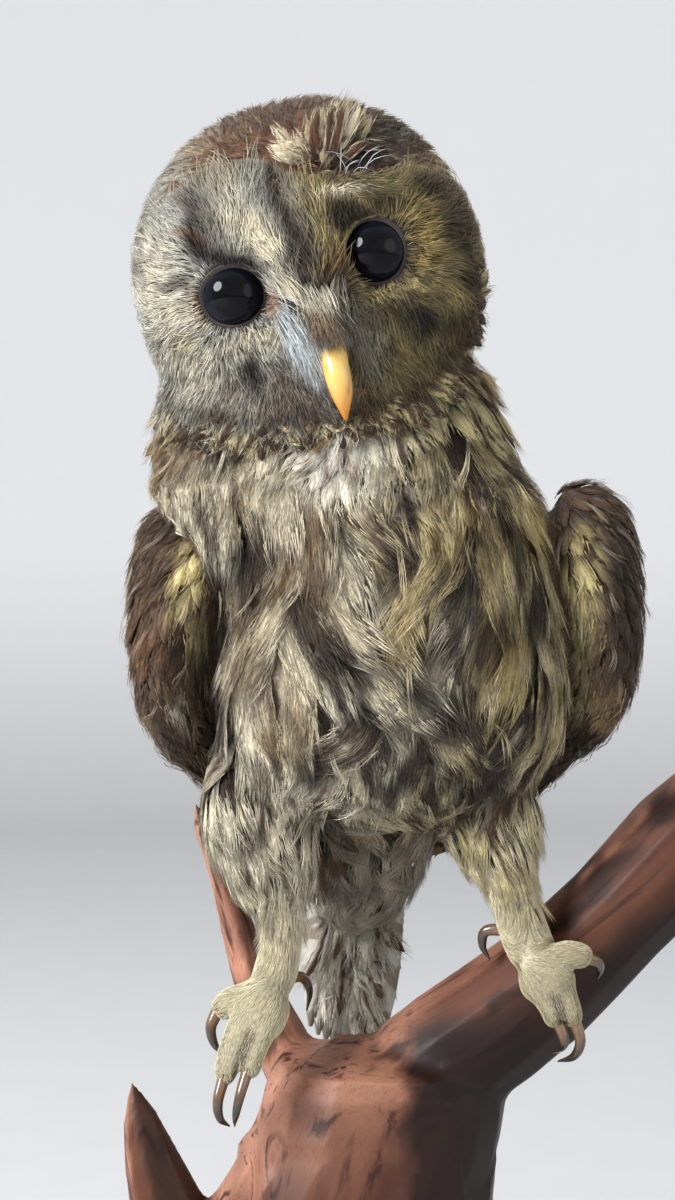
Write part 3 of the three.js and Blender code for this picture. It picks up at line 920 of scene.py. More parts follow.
THROAT_FLECKS = [
    (-22, 364, 1.6, 4, 10), (-15, 362, 1.4, 5, 0), (-10, 366, 1.5, 4, 0), (-18, 370, 1.5, 3, 0),
    (-7, 361, 1.6, 4, -10),
]
GOLD_PATCHES = [
    (32, 327, 7, 12, 10), (24, 344, 9, 10, 0), (40, 305, 7, 12, 0), (50, 340, 7, 12, 0), (8, 312, 5, 10, 0),
]

# How the front of the body is combed: x, z, and the way the feathers lie there.
COMBS = [
    (-53, 361, -0.2, -1), (-40, 356, 0.1, -1), (-29, 336, -0.55, -1), (-24, 331, -0.3, -1),
    (-2, 344, 0.7, -0.8), (2, 330, 0.35, -1), (18, 335, 0.05, -1), (29, 333, 0.05, -1),
    (43, 347, 0.5, -0.9), (51, 334, -0.1, -1), (-38, 317, -0.8, -0.6), (-42, 301, 0.1, -1),
    (-15, 315, 0.6, -0.8), (-7, 303, 0.6, -0.8), (4, 296, 0.7, -0.8), (18, 292, 0.65, -0.8),
    (25, 278, 0.5, -0.9), (29, 301, -0.4, -1), (34, 310, -0.45, -1), (41, 296, -0.35, -1),
    (50, 287, -0.5, -0.9), (-35, 283, 0.7, -0.5), (-22, 278, 0.3, -1), (0, 272, -0.4, -0.9),
    (-45, 275, -0.5, -0.8),
]
COMB_REACH = 11.0
HOLLOW = (-54, 318, 8, 28, 4)


def front_share(points):
    """1 on the front of the body, and 0 on its back; on the neck the front's colours reach further round."""
    return ease(points[:, 1] - 14 * ease(points[:, 2], 345, 365), 12, -4)


def marks_at(points, marks):
    """How strongly the strongest of some marks shows at each point."""
    return np.max([oval(points, m) for m in marks], axis=0)


def body_colours(points, rng):
    """Pale colour, dark colour and streak width of each body feather."""
    x, y, z = points.T
    count = len(points)
    front = front_share(points)
    khaki = ease(x + 8 * wobble(points, 60, 3), -28, 30)
    pale = mix(GREY_CREAM, KHAKI * 0.95, khaki[:, None])
    pale = tint(pale, CREAM, rng.uniform(0.2, 1.0, count) * (1 - 0.75 * khaki))
    pale = tint(pale, BUFF, 0.5 * ease(wobble(points, 38, 5), 0.3, 1.3))
    dark = DARK * rng.uniform(0.6, 1.3, (count, 1))
    browner = rng.uniform(-0.3, 1.1, count) + 0.5 * wobble(points, 34, 6)
    dark = tint(dark, BROWN * 1.1, np.clip(browner, 0, 0.9))
    streak = 0.24 + 0.34 * wobble(points, 15, 8) + rng.uniform(-0.5, 0.45, count)
    gold = marks_at(points, GOLD_PATCHES) * front
    light = marks_at(points, PALE_PATCHES) * front
    brown = marks_at(points, BROWN_PATCHES) * front
    black = marks_at(points, DARK_STREAKS) * front
    pale = tint(pale, GOLD, gold * 0.6)
    pale = tint(pale, CREAM, light * 0.7)
    pale = tint(pale, BUFF * 0.8, brown * 0.4)
    dark = tint(dark, RUFOUS * 0.85, brown * 0.45)
    dark = tint(dark, BLACKISH, black * 0.8)
    streak = streak - 0.2 * np.maximum(light, gold) + 0.15 * brown + 0.35 * black
    back = 1 - front
    pale = tint(pale, BUFF * 0.8, back * 0.85)
    streak = streak + 0.1 * back
    throat = oval(points, THROAT_PATCH) * front
    pale = tint(pale, WHITE, throat * 1.2)
    dark = tint(dark, RUFOUS * 0.7, throat * 0.7)
    streak = streak - 0.7 * throat
    vent = ease(z, 264, 240) * ease(y, -4, 16)
    pale = tint(pale, GREY, vent * 0.85)
    dark = tint(dark, GREY * 0.6, vent * 0.5)
    streak = streak - 0.35 * vent
    return pale, dark, np.clip(streak, -0.4, 1.5)


def body_marks(colours, points):
    """Lays the front's larger marks over the feathers, whichever feathers they fall on."""
    moved = stir(points, (13, 81, 2.2), (16, 82, 3))
    front = front_share(points)
    grain = 0.75 + 0.35 * wobble(points * (1, 1, 0.3), 5, 83)
    flames = wobble(moved * (1, 1, 0.45), 10, 84) * front * ease(points[:, 2], 374, 356)
    colours = tint(colours, CREAM, 0.5 * ease(-flames, 0.3, 0.9))
    colours = tint(colours, DARK * 0.85, 0.92 * ease(flames, 0.4, 0.8))
    colours = tint(colours, BUFF * 0.5, 0.7 * marks_at(moved, BROWN_PATCHES) * front * grain)
    colours = tint(colours, GOLD * 0.8, 0.5 * marks_at(moved, GOLD_PATCHES) * front * grain)
    colours = tint(colours, CREAM, 0.85 * marks_at(moved, PALE_PATCHES) * front * grain)
    colours = tint(colours, DARK * 0.6, 1.25 * marks_at(moved, DARK_STREAKS) * front * grain)
    colours = tint(colours, WHITE, 1.1 * oval(moved, THROAT_PATCH) * front * grain)
    return tint(colours, RUFOUS * 0.5, 0.9 * marks_at(points, THROAT_FLECKS) * front)


def body_flow(points, normals):
    """Which way the body's feathers lie: down and a little back, combed over the front as in COMBS."""
    x, _, z = points.T
    lateral = (x - TRUNK_MIDDLE[0]) / 60
    spread = 0.5 * ease(z, 330, 375) - 0.35 * ease(z, 300, 255)
    way = xyz(lateral * spread, 0.22, -1.0)
    front = front_share(points)
    for cx, cz, dx, dz in COMBS:
        share = np.exp(-((x - cx) ** 2 + (z - cz) ** 2) / COMB_REACH**2) * front
        way = mix(way, np.array([dx, 0.0, dz]), share[:, None])
    way = flatten(way, normals)
    turn = 0.34 * wobble(points, 46, 11) + 0.22 * wobble(points, 17, 12)
    turn = turn * (1 + 0.9 * ease(z, 295, 262))
    return swirl(way, normals, np.clip(turn, -1.2, 1.2))


def head_share(points):
    """1 on the head and 0 on the neck and body."""
    p = to_head(points)
    foot = np.where(p[:, 1] < -5, face_foot(p[:, 0]), -38.0)
    return ease(p[:, 2] - foot, -4, 4)


def on_thigh(points):
    """Which body points belong to a thigh."""
    far = np.min([far_from(path, points)[0] for path in THIGHS.values()], axis=0)
    return (far - 14 * ease(points[:, 2], 240, 276) < 13) & (points[:, 2] < 258)


# ------------------------------------------------------------------ body coat
BODY_DEPTH = 5.0
BACK_FROM = 16  # the y behind which the feathers are those of the back
BREAST_GAP, BACK_GAP, NECK_GAP, WISP_GAP, VENT_GAP = 7.9, 10.0, 4.9, 14.0, 5.2
BODY_UNWRAP = round_upright(TRUNK_MIDDLE, 195, 410)


def dress_body():
    """The breast, belly and back, then the shorter feathers of the neck, and loose wisps over both."""
    coat = Coat("coat_body", BODY_UNWRAP)
    rng = np.random.default_rng(102)

    def trunk_spacing(points):
        gap = np.where(points[:, 1] < BACK_FROM, BREAST_GAP, BACK_GAP)
        top = 366 - 8 * (points[:, 1] > 10)
        bare = (hollow(points) > 0.5) | (vent_share(points) > 0.5) | on_thigh(points) | (points[:, 2] > top)
        return np.where(bare, 0, gap)

    roots, normals = scatter(body, trunk_spacing, 101, (1, 1, 1.9))
    front = roots[:, 1] < BACK_FROM
    for shapes, part in ((BREAST, front), (BACK, ~front)):
        place_body(coat, shapes, roots[part], normals[part], 38, 7.6, rng)

    def neck_spacing(points):
        return np.where((points[:, 2] > 352) & (head_share(points) < 0.5), NECK_GAP, 0)

    roots, normals = scatter(body, neck_spacing, 104, (1, 1, 1.7))
    place_body(coat, THROAT, roots, normals, 21, 4.8, rng)
    coat.build()

    def wisp_spacing(points):
        return np.where((points[:, 2] < 375) & (points[:, 1] < 14) & ~on_thigh(points), WISP_GAP, 0)

    loose = Coat("coat_wisps", BODY_UNWRAP)
    roots, normals = scatter(body, wisp_spacing, 106)
    count = len(roots)
    lengths = rng.uniform(14, 26, count)
    places, ups = grow(body, roots, normals, body_flow, lengths, rng, 0.2, 0.7, follow=0.15)
    pale = tint(body_colours(places[:, 2], rng)[0], CREAM, 0.2)
    heights = rise(1.0, 0.6, rng.uniform(0, 1.2, count))
    loose.add(WISP, places, ups, 2.4, heights, 107, pale, BUFF, -0.4, body_marks)
    loose.build()


def hollow(points):
    """The dark gap between the right flank and the wing, where the body falls back."""
    return oval(points, HOLLOW) * ease(points[:, 1], 16, 6)


def vent_share(points):
    """1 under the tail, and 0 elsewhere."""
    return ease(points[:, 2], 268, 250) * ease(points[:, 1], 0, 12) * ease(points[:, 1], 62, 52)


def place_body(coat, shapes, roots, normals, length, half, rng):
    """Lays body feathers of about the given length and half width with their middles near the roots."""
    count = len(roots)
    lengths = length * rng.uniform(0.8, 1.15, count) * np.interp(roots[:, 2], [262, 285], [0.75, 1.0])
    headings = body_flow(roots, normals) + rng.normal(0, 0.16, roots.shape)
    curl = 0.7 * wobble(roots, 30, 14) + rng.normal(0, 0.4, count)
    curl = curl * (1 + ease(roots[:, 2], 300, 268))
    roots = roots - flatten(headings, normals) * (lengths * 0.45)[:, None]
    places, ups = lay(body, roots, headings, lengths, curl, body_flow)
    pale, dark, streak = body_colours(places[:, 4], rng)
    heights = rise(BODY_DEPTH, -0.6, rng.uniform(-1.5, 1.9, count))
    half = half * rng.uniform(0.85, 1.15, count)
    coat.add(shapes, places, ups, half, heights, int(length), pale, dark, streak, body_marks)


VENT_SPOT = (-13, 227, 5, 9, 0)


def dress_vent():
    """The soft grey-cream down under the tail."""
    coat = Coat("coat_vent", BODY_UNWRAP)
    rng = np.random.default_rng(131)

    def spacing(points):
        return np.where((vent_share(points) > 0.05) & ~on_thigh(points), VENT_GAP, 0)

    roots, _ = scatter(body, spacing, 132)
    count = len(roots)
    lengths = rng.uniform(17, 27, count)
    headings = np.array([0.0, 0.15, -1.0]) + rng.normal(0, 0.22, roots.shape)
    places, ups = lay(body, roots, headings, lengths, rng.normal(0, 0.5, count), None)
    pale = tint(GREY * 0.8, GREY_CREAM, rng.uniform(0, 0.7, count))
    spot = oval(places[:, 4], VENT_SPOT)
    streak = rng.uniform(-0.5, 0.1, count) + 1.1 * spot
    coat.add(FLUFF, places, ups, 4.6, rise(3.0, 0.4, rng.uniform(-1, 2, count)), 133, pale, BROWN, streak)
    coat.build()


# ------------------------------------------------------------------ crown and nape
CROWN_MARKS = [
    ((4, 50, 26, 13, 0), BROWN * 0.85, 1.0), ((-14, 44, 12, 7, 15), RUFOUS * 0.7, 0.8),
    ((-4, 51, 2.6, 2.2, 0), CREAM, 0.9), ((32, 44, 12, 7, -35), BLACKISH * 1.5, 0.9),
    ((46, 30, 8, 9, -40), OLIVE * 0.55, 0.9),
]
# Painted shade: near-black ovals in the deep place beside the tuft, as x, z, radii and tilt in the head
# frame, then colour and strength.
CROWN_HOLLOW_SHADES = [((26, 32, 12, 5.5, -12), BLACKISH * 0.7, 1.0), ((39, 36, 9, 7, -30), BLACKISH * 1.2, 0.9)]


def crown_flow(points, normals):
    """Which way the feathers of crown and nape lie: back and down."""
    way = flatten(turn_from_head(np.broadcast_to((0.0, 0.9, -0.6), points.shape)), normals)
    turn = 0.3 * wobble(points, 30, 21) + 0.15 * wobble(points, 12, 22)
    return swirl(way, normals, turn)


# Where the face ends, above and below, in the head frame.
CROWN_EDGE_X = (-57, -40, -19, -3, 0, 6, 14, 24, 36, 48, 57)
CROWN_EDGE_Z = (15, 32, 40, 35, 31, 27, 26, 25, 23, 17, 8)
FACE_FOOT_X = (-57, -48, -31, -20, 0, 21, 34, 43, 52)
FACE_FOOT_Z = (-22, -30, -36, -39, -41, -42, -38, -31, -12)


def face_foot(x):
    """The height, in the head frame, of the face's lower edge."""
    return np.interp(x, FACE_FOOT_X, FACE_FOOT_Z)


def crown_line(x):
    """The height, in the head frame, where the face gives way to the crown."""
    return np.interp(x, CROWN_EDGE_X, CROWN_EDGE_Z)


def in_face(p):
    """Which places, in the head frame, are on the face."""
    x, y, z = p.T
    return (y < -12) & (z < crown_line(x)) & (z > face_foot(x))


# The ruffled tuft over the left eye: its roots at x, z, the way its feathers point, how many they are, how
# long, how far they stand out, and how pale they are.
TUFT = [
    ((10, 38), (-0.9, 0.0, 0.3), 9, (7, 10), 0.9, 0.9), ((10, 38), (-0.3, 0.0, 0.9), 8, (7, 10), 0.7, 0.7),
    ((12, 36), (0.3, 0.0, 0.95), 12, (9, 13), 0.6, 0.4),
    ((15, 35), (0.7, 0.0, 0.75), 20, (15, 22), 0.6, 0.5), ((20, 38), (0.9, 0.0, 0.6), 9, (9, 13), 0.5, 0.2),
    ((7, 31), (-0.5, 0.0, -0.5), 4, (6, 9), 0.5, 0.1), ((17, 38), (0.4, 0.0, 0.9), 8, (10, 14), 0.6, 0.1),
]


def crown_paint(colours, points):
    """Paints shade into the deep place beside the tuft."""
    p = to_head(points)
    share = (0.8 + 0.35 * wobble(p, 3.5, 116))[:, None].clip(0, 1)
    return mix(colours, paint(colours, p, CROWN_HOLLOW_SHADES), share)


def on_front(spots):
    """Places and normals on the front of the head at x and z in the head frame."""
    far = xyz(spots[:, 0], -90.0, spots[:, 1])
    return body.struck(from_head(far), turn_from_head((0.0, 1.0, 0.0)).tolist())


CROWN_GAP, NAPE_GAP = 3.7, 5.0
TUFT_HAIRS = 9


def dress_crown():
    """The small feathers of crown and nape, and the ruffled tuft over the left eye."""
    coat = Coat("coat_crown", round_head)

    def spacing(points):
        p = to_head(points)
        gap = np.where(p[:, 1] > 5, NAPE_GAP, CROWN_GAP)
        return np.where(~in_face(p) & (head_share(points) > 0.05), gap, 0)

    roots, normals = scatter(body, spacing, 111)
    rng = np.random.default_rng(112)
    count = len(roots)
    p = to_head(roots)
    lengths = np.interp(p[:, 1], [-40, -10, 30, 50], [11, 13, 17, 19]) * rng.uniform(0.85, 1.2, count)
    headings = crown_flow(roots, normals)
    roots = roots - headings * (lengths * 0.35)[:, None]
    places, ups = lay(body, roots, headings, lengths, rng.normal(0, 0.3, count), crown_flow)
    p = to_head(places[:, 4])
    pale = tint(BUFF * 0.8, GREY_CREAM, rng.uniform(0, 0.7, count))
    dark = DARK * rng.uniform(0.8, 1.5, (count, 1))
    front = ease(p[:, 1], 10, -14)[:, None]
    pale = mix(pale, paint(pale, p, CROWN_MARKS), front)
    dark = tint(dark, CHESTNUT * 0.55, 0.7 * front[:, 0])
    streak = 0.5 - 0.25 * front[:, 0] + rng.uniform(-0.15, 0.25, count)
    outer = ease(p[:, 0], -16, -36) * ease(p[:, 1], 20, 0)
    pale = tint(pale, COOL_GREY * 0.85, 0.85 * outer)
    dark = tint(dark, OLIVE * 0.6, 0.8 * outer)
    streak = streak - 0.25 * outer
    deep = oval(p, CROWN_HOLLOW_SHADES[0][0]) * front[:, 0]
    corner = ease(p[:, 0], 26, 42) * ease(p[:, 2], 2, 18)
    heights = rise(4.4, -0.3, rng.uniform(-0.6, 0.7, count) - 1.6 * deep - 0.3 * corner)
    coat.add(SMALL, places, ups, lengths * 0.26, heights, 113, pale, dark, streak, crown_paint)

    for (x, z), aim, count, (short, long), stand, pale_share in TUFT:
        roots, normals = on_front(np.array([x, z]) + rng.normal(0, 2.4, (count, 2)))
        aims = turn_from_head(np.array(aim) + rng.normal(0, 0.24, (count, 3)))
        lying = flatten(aims, normals)
        first = unit(lying + normals * rng.uniform(0.5, 1.1, (count, 1)) * stand)
        last = lying + normals * rng.uniform(-0.5, 0.3, (count, 1))
        last = unit(last + rng.normal(0, 0.25, (count, 3)))
        places, ups = arcs(roots - normals * 2.0, first, last, rng.uniform(short, long, count), normals)
        pale = tint(CREAM, BUFF * 0.8, rng.uniform(0.1, 1.0, count) * (1.15 - pale_share))
        dark = tint(CHESTNUT * 0.8, BLACKISH, rng.random(count) * (1 - pale_share))
        streak = rng.uniform(-0.1, 1.1, count) - 0.6 * pale_share
        coat.add(PLUME, places, ups, rng.uniform(1.8, 2.8, count), 0.0, 114, pale, dark, streak)

    count = TUFT_HAIRS
    roots, normals = on_front(np.stack([rng.uniform(14, 28, count), rng.uniform(26, 31, count)], 1))
    aim = turn_from_head(xyz(rng.normal(0.5, 0.5, count), -0.3, rng.uniform(0.1, 1.0, count)))
    first = unit(aim + normals * 0.5)
    last = unit(aim + turn_from_head((0.3, -0.2, -0.9)) * rng.uniform(0, 1.2, (count, 1)))
    places, ups = arcs(roots - normals, first, last, rng.uniform(8, 16, count), normals)
    coat.add(BRISTLE, places, ups, 1.0, 0.0, 115, ICE, ICE, -0.5)
    coat.build()


# ------------------------------------------------------------------ face
STRIPE = [(1, 50), (-2.6, 29), (-1.5, 19), (-1.0, 4), (0.5, -8)]  # x, z down the middle of the face
FACE_MARKS = [
    # the owl's right half, from its edge inwards and downwards
    ((-46, 8, 9, 26, 0), GREY_CREAM, 0.8), ((-43, -18, 11, 13, 0), GREY_CREAM, 0.5),
    ((-20, 42, 16, 9, 10), OLIVE, 0.5), ((-38, 36, 10, 8, 0), COOL_GREY, 0.6),
    ((-52, 22, 4, 6, 0), DARK, 0.6), ((-28, 31, 5, 9, 20), PURPLE * 0.5, 1.0),
    ((-31, 23, 3.5, 6, 20), DARK * 0.6, 1.0), ((-40, 12, 5, 3, 0), PURPLE * 0.8, 0.8),
    ((-11, 17, 5.5, 13, 25), CREAM, 0.9), ((-20, 25, 6, 4, -37), CREAM * 0.85, 0.6),
    # (-23, 15) is painted shade under the brow, over the right eye
    ((-32, 24, 6, 1.8, -30), RUFOUS, 0.9), ((-23, 15, 14, 3.4, -37), BLACKISH * 0.7, 1.0),
    ((-12.5, -3, 2.4, 5, 0), RUFOUS, 0.9), ((-35.5, 2, 2.4, 6, 0), BUFF, 0.6),
    ((-24, -12, 12, 4, 0), CREAM, 0.75), ((-26, -21, 3.6, 6.5, 10), BLACKISH * 0.8, 1.0),
    ((-33, -24, 4, 3, 0), BROWN, 0.7), ((-18, -25, 3, 3.5, 0), BROWN, 0.7),
    ((-38, -30, 6, 3, 10), BROWN * 1.1, 0.6), ((-27, -33, 6, 3, 0), CREAM, 0.6),
    ((-44, -8, 4, 4, 0), KHAKI * 0.6, 0.5), ((-16, -33, 14, 9, 0), BROWN * 1.1, 0.75),
    # its left half
    # (27, 33) is painted shade in the hollow beside the tuft
    ((27, 33, 14, 6, -14), BLACKISH, 1.0), ((18, 24.2, 10, 2.4, -5), CREAM, 0.9),
    # (14.5, 16.5) is painted shade between the brow and the left eye
    ((34, 20.5, 13, 4, -20), KHAKI * 0.6, 0.7), ((14.5, 16.5, 7, 3.6, -10), BLACKISH, 1.0),
    ((26, 16, 9, 1.8, -6), DARK, 0.8), ((46, 14, 7, 5, 0), OLIVE * 0.7, 0.6),
    ((7, 10, 4, 9, 0), KHAKI * 0.75, 0.7), ((9, 4, 3.4, 7, 0), RUFOUS * 0.9, 0.6),
    ((6, -3, 3, 7, 0), DARK, 0.75), ((7.5, -12, 1.8, 12, 0), BLACKISH, 0.9),
    ((11, -5, 2.2, 10, 0), DARK, 0.65), ((39, 4, 7, 11, 0), GOLD * 0.8, 0.6),
    ((27, -10.5, 12, 3.0, 0), KHAKI * 0.7, 0.6), ((50, 4, 6, 11, 0), DARK, 0.85),
    ((46, 17, 7, 7, -50), DARK, 0.8), ((22, -14, 10, 3, 0), DARK, 0.6),
    ((20, -17, 7, 4, 0), DARK * 1.3, 0.5), ((30, -21, 8, 5, -20), BLACKISH * 0.9, 1.0),
    ((49, -4, 3.5, 4.5, 0), BLACKISH, 0.8), ((49, -14, 4, 5, 0), BLACKISH, 0.8),
    ((39, -26, 6, 4, 0), DARK, 0.8), ((42, -16, 4, 4, 0), KHAKI, 0.5), ((12, -23, 6, 13, 0), GREY, 0.8),
    ((22, -32, 10, 6, 0), OLIVE * 0.85, 0.7), ((34, -34, 7, 4, 0), DARK, 0.6),
    ((12, -43, 16, 5, 0), BROWN * 1.1, 0.7),
]


def stripe_share(p):
    """How far places of the face, in the head frame, are in the dark stripe down its middle."""
    near, along = far_from([(x, 0, z) for x, z in STRIPE], p * (1, 0, 1))
    return np.exp(-((near / (3.2 + 1.2 * along)) ** 2)) * ease(p[:, 2], -14, -4)


def face_colours(p):
    """Colour of the face by its place in the head frame."""
    moved = stir(p, (9, 33, 1.4), (9, 34, 1.4))
    x, _, z = moved.T
    colour = mix(COOL_GREY, OLIVE * 0.92, ease(x, -6, 8)[:, None])
    colour = paint(colour, moved, FACE_MARKS)
    colour = colour * (1 + 0.2 * wobble(p, 5, 38) + 0.14 * wobble(p, 2.6, 39))[:, None]
    # dark along the face's lower edge: partly the ruff's own dark rim, partly painted shade in the groove
    # under it
    edge = np.exp(-(((z - face_foot(x) - 1) / 3.0) ** 2))
    colour = tint(colour, DARK, 0.75 * edge)
    return tint(colour, DARK * 0.8, stripe_share(moved))


def face_paint(level, points):
    """Gives strands the face's colours, each as light or dark as its level says."""
    return level * face_colours(to_head(points))


SWEPT = (24, 23, 15, 6, -12)  # where the feathers over the left eye are swept aside


def face_ways(p, eye):
    """The way the face's feathers lie, in the head frame: out from the eye, and up near the middle."""
    out = p - eye
    out[:, 1] = 0
    up = p - np.array([0, 0, -7])
    up[:, 1] = 0
    middle = np.exp(-((p[:, 0] / 13) ** 2))
    share = 1.6 * middle * ease(p[:, 2], -16, -4) + 1.1 * middle
    fall = ease(p[:, 2], -10, -30)[:, None]
    way = unit(out) + unit(up) * share[:, None] * (1 - fall) + fall * np.array([0, 0, -0.9])
    turn = 0.36 * wobble(p, 15, 35) + 0.16 * wobble(p, 6, 36)
    way = unit(way)
    way = mix(way, np.array([1.0, 0.0, -0.15]), oval(p, SWEPT)[:, None])
    return unit(way + np.cross(way, (0.0, 1.0, 0.0)) * turn[:, None])


FACE_STRANDS = 18500  # tried on each side; those off the face are dropped
FACE_WISPS = 520
EYE_MARGIN = 0.2
BROWS = {"right": (-17, 19, 17, 5, -37), "left": (26, 24, 18, 4, -16)}


def dress_face():
    """The fine strands of the face, and then its bristles."""
    coat = Coat("coat_face", round_head)
    for side, sign in SIDES.items():
        eye = EYES[side]
        rng = np.random.default_rng(120 + (side == "left"))
        x = rng.uniform(0, 57, FACE_STRANDS) * sign
        z = rng.uniform(-50, 58, FACE_STRANDS)
        wide, high = LID_WIDE[side]
        open_eye = np.hypot((x - eye[0]) / (wide + EYE_MARGIN), (z - eye[2]) / (high + EYE_MARGIN)) < 1
        keep = ~open_eye & (z < crown_line(x) + 2)
        x, z = x[keep], z[keep]
        roots, normals = on_front(np.stack([x, z], 1))
        p = to_head(roots)
        good = (p[:, 1] < -10) & (p[:, 2] > face_foot(p[:, 0]) + rng.normal(2.5, 1.0, len(p)))
        roots, normals, p = roots[good], normals[good], p[good]
        count = len(roots)
        gap = np.hypot(p[:, 0] - eye[0], p[:, 2] - eye[2])
        headings = turn_from_head(face_ways(p, eye) + rng.normal(0, 0.09, p.shape))
        lengths = np.interp(gap, [9, 14, 25, 45], [4.5, 6.5, 8.5, 10]) * rng.uniform(0.75, 1.25, count)
        lengths = np.minimum(lengths, np.maximum(crown_line(p[:, 0]) + 5 - p[:, 2], 3.5))
        places, ups = lay(body, roots, headings, lengths, rng.normal(0, 0.35, count))
        level = rng.uniform(0.75, 1.5, count)
        level[rng.random(count) < 0.2 + 0.12 * wobble(p, 8, 31)] *= 0.42
        level = np.repeat(level[:, None], 3, 1)
        lift = rng.uniform(-0.5, 0.5, count) + 0.5 * wobble(p, 4, 37)
        lift = lift + 2.6 * oval(p, BROWS[side]) - 1.6 * stripe_share(p)
        coat.add(HAIR, places, ups, 1.0, rise(1.4, 0.1, lift, 0.6), 123, level, level, -0.5, face_paint)

        # finer, longer and paler ones that lie loosely over them
        chosen = rng.choice(count, FACE_WISPS, replace=False)
        ways = turn_from_head(face_ways(p[chosen], eye) + rng.normal(0, 0.15, (FACE_WISPS, 3)))
        lengths = rng.uniform(8, 15, FACE_WISPS)
        places, ups = lay(body, roots[chosen], ways, lengths, rng.normal(0, 0.5, FACE_WISPS))
        level = np.repeat(rng.uniform(1.0, 1.6, (FACE_WISPS, 1)), 3, 1)
        heights = rise(0.6, 0.2, rng.uniform(0, 0.8, FACE_WISPS), 0.6)
        coat.add(BRISTLE, places, ups, 1.0, heights, 124, level, level, -0.5, face_paint)
    coat.build()
    dress_bristles()


BRISTLES = [
    # between two places (x, z), how many, first way, last way, lengths, colour
    ((-14, 1), (-11, -9), 520, (0.8, -0.6, -0.35), (0.6, -0.2, -1.0), (15, 22), ICE),
    ((-13, -4), (-8, -14), 520, (0.3, -0.6, -0.75), (0.1, -0.1, -1.0), (18, 26), ICE * 1.1),
    ((-12, -10), (-9, -22), 380, (0.4, -0.55, -0.75), (0.1, -0.05, -1.0), (12, 18), ICE),
    ((-12, 7), (-5, -2), 260, (0.5, -0.5, -0.7), (0.3, -0.2, -1.0), (12, 17), CREAM),
    ((-5, -1), (4, -4), 380, (0.1, -0.7, -0.7), (0.0, -0.4, -1.0), (10, 15), GREY_CREAM),
    ((-5, -7), (3, -10), 380, (0.05, -0.8, -0.6), (0.0, -0.3, -1.0), (11, 16), ICE * 0.8),
    ((-4, -8), (4, -9), 240, (0.0, -1.0, -0.2), (0.0, -0.15, -1.0), (15, 20), TAN),
    ((9, 0), (8, -12), 380, (-0.35, -0.6, -0.6), (-0.15, -0.1, -1.0), (12, 17), GREY * 0.8),
    ((8, -12), (11, -28), 340, (-0.1, -0.4, -0.8), (0.05, 0.1, -1.0), (10, 15), GREY),
    ((-14, 0), (0, -6), 60, (0.5, -0.65, -0.4), (0.3, -0.2, -1.0), (16, 24), BLACKISH),
]


def dress_bristles():
    """Stiff pale bristles that fan from the corners of the eyes over the root of the bill."""
    coat = Coat("coat_bristles", round_head)
    rng = np.random.default_rng(150)
    for start, end, count, first, last, (short, long), colour in BRISTLES:
        t = rng.random((count, 1))
        spots = np.array(start) * (1 - t) + np.array(end) * t + rng.normal(0, 1.2, (count, 2))
        roots, normals = on_front(spots)
        count = len(roots)
        first_ways = unit(turn_from_head(np.array(first) + rng.normal(0, 0.13, (count, 3))))
        last_ways = unit(turn_from_head(np.array(last) + rng.normal(0, 0.18, (count, 3))))
        lengths = rng.uniform(short, long, count)
        places, ups = arcs(roots - normals * 0.8, first_ways, last_ways, lengths, normals)
        colours = colour * rng.uniform(0.45, 1.35, (count, 1))
        coat.add(BRISTLE, places, ups, 1.0, 0.0, 151, colours, colours * 0.7, -0.5)
    coat.build()


RUFF_FEATHERS = 230


def dress_ruff():
    """Small stiff feathers that stand in a rim round the lower edge of the face."""
    coat = Coat("coat_ruff", round_head)
    rng = np.random.default_rng(157)
    x = rng.uniform(-54, 51, RUFF_FEATHERS)
    roots, normals = on_front(np.stack([x, face_foot(x) + rng.normal(0.5, 2.0, RUFF_FEATHERS)], 1))
    count = len(roots)
    p = to_head(roots)
    away = turn_from_head(unit(p * (1, 0, 1)) + rng.normal(0, 0.22, p.shape))
    first = unit(flatten(away, normals) + normals * rng.uniform(0.2, 0.7, (count, 1)))
    last = unit(flatten(away, normals) - normals * 0.2 + rng.normal(0, 0.35, (count, 3)))
    lengths = rng.uniform(8, 13, count) * (1 - 0.4 * np.exp(-(((p[:, 0] + 10) / 18) ** 2)))
    places, ups = arcs(roots - normals * 1.8, first, last, lengths, normals)
    left = ease(p[:, 0], -10, 10)
    pale = tint(KHAKI, CREAM, rng.uniform(0, 0.9, count) * (1 - 0.5 * left))
    pale = tint(pale, OLIVE, 0.5 * left)
    dark = BROWN * 0.7 * rng.uniform(0.4, 1.1, (count, 1))
    half, streak = rng.uniform(2.4, 3.6, count), rng.uniform(0.0, 1.0, count)
    coat.add(SMALL, places, ups, half, 0.0, 158, pale, dark, streak)
    coat.build()


# ------------------------------------------------------------------ legs and feet
# The creases between the two front toes of each foot, where shade is painted into the down.
TOE_CREASES = {
    "right": [(-39, -34, 187), (-42, -34.5, 180.5), (-44, -34, 172)],
    "left": [(56.4, -33.5, 198), (58.1, -32.5, 193.5), (59.5, -31, 188)],
}
DOWN_GAP, THIGH_GAP = 0.58, 4.8
DOWN_TOP, THIGH_FOOT = 36, 26  # above the middle of the foot
THIGH_SPOTS = [(-48, 256, 4, 7, 0), (48, 262, 5, 8, 0)]


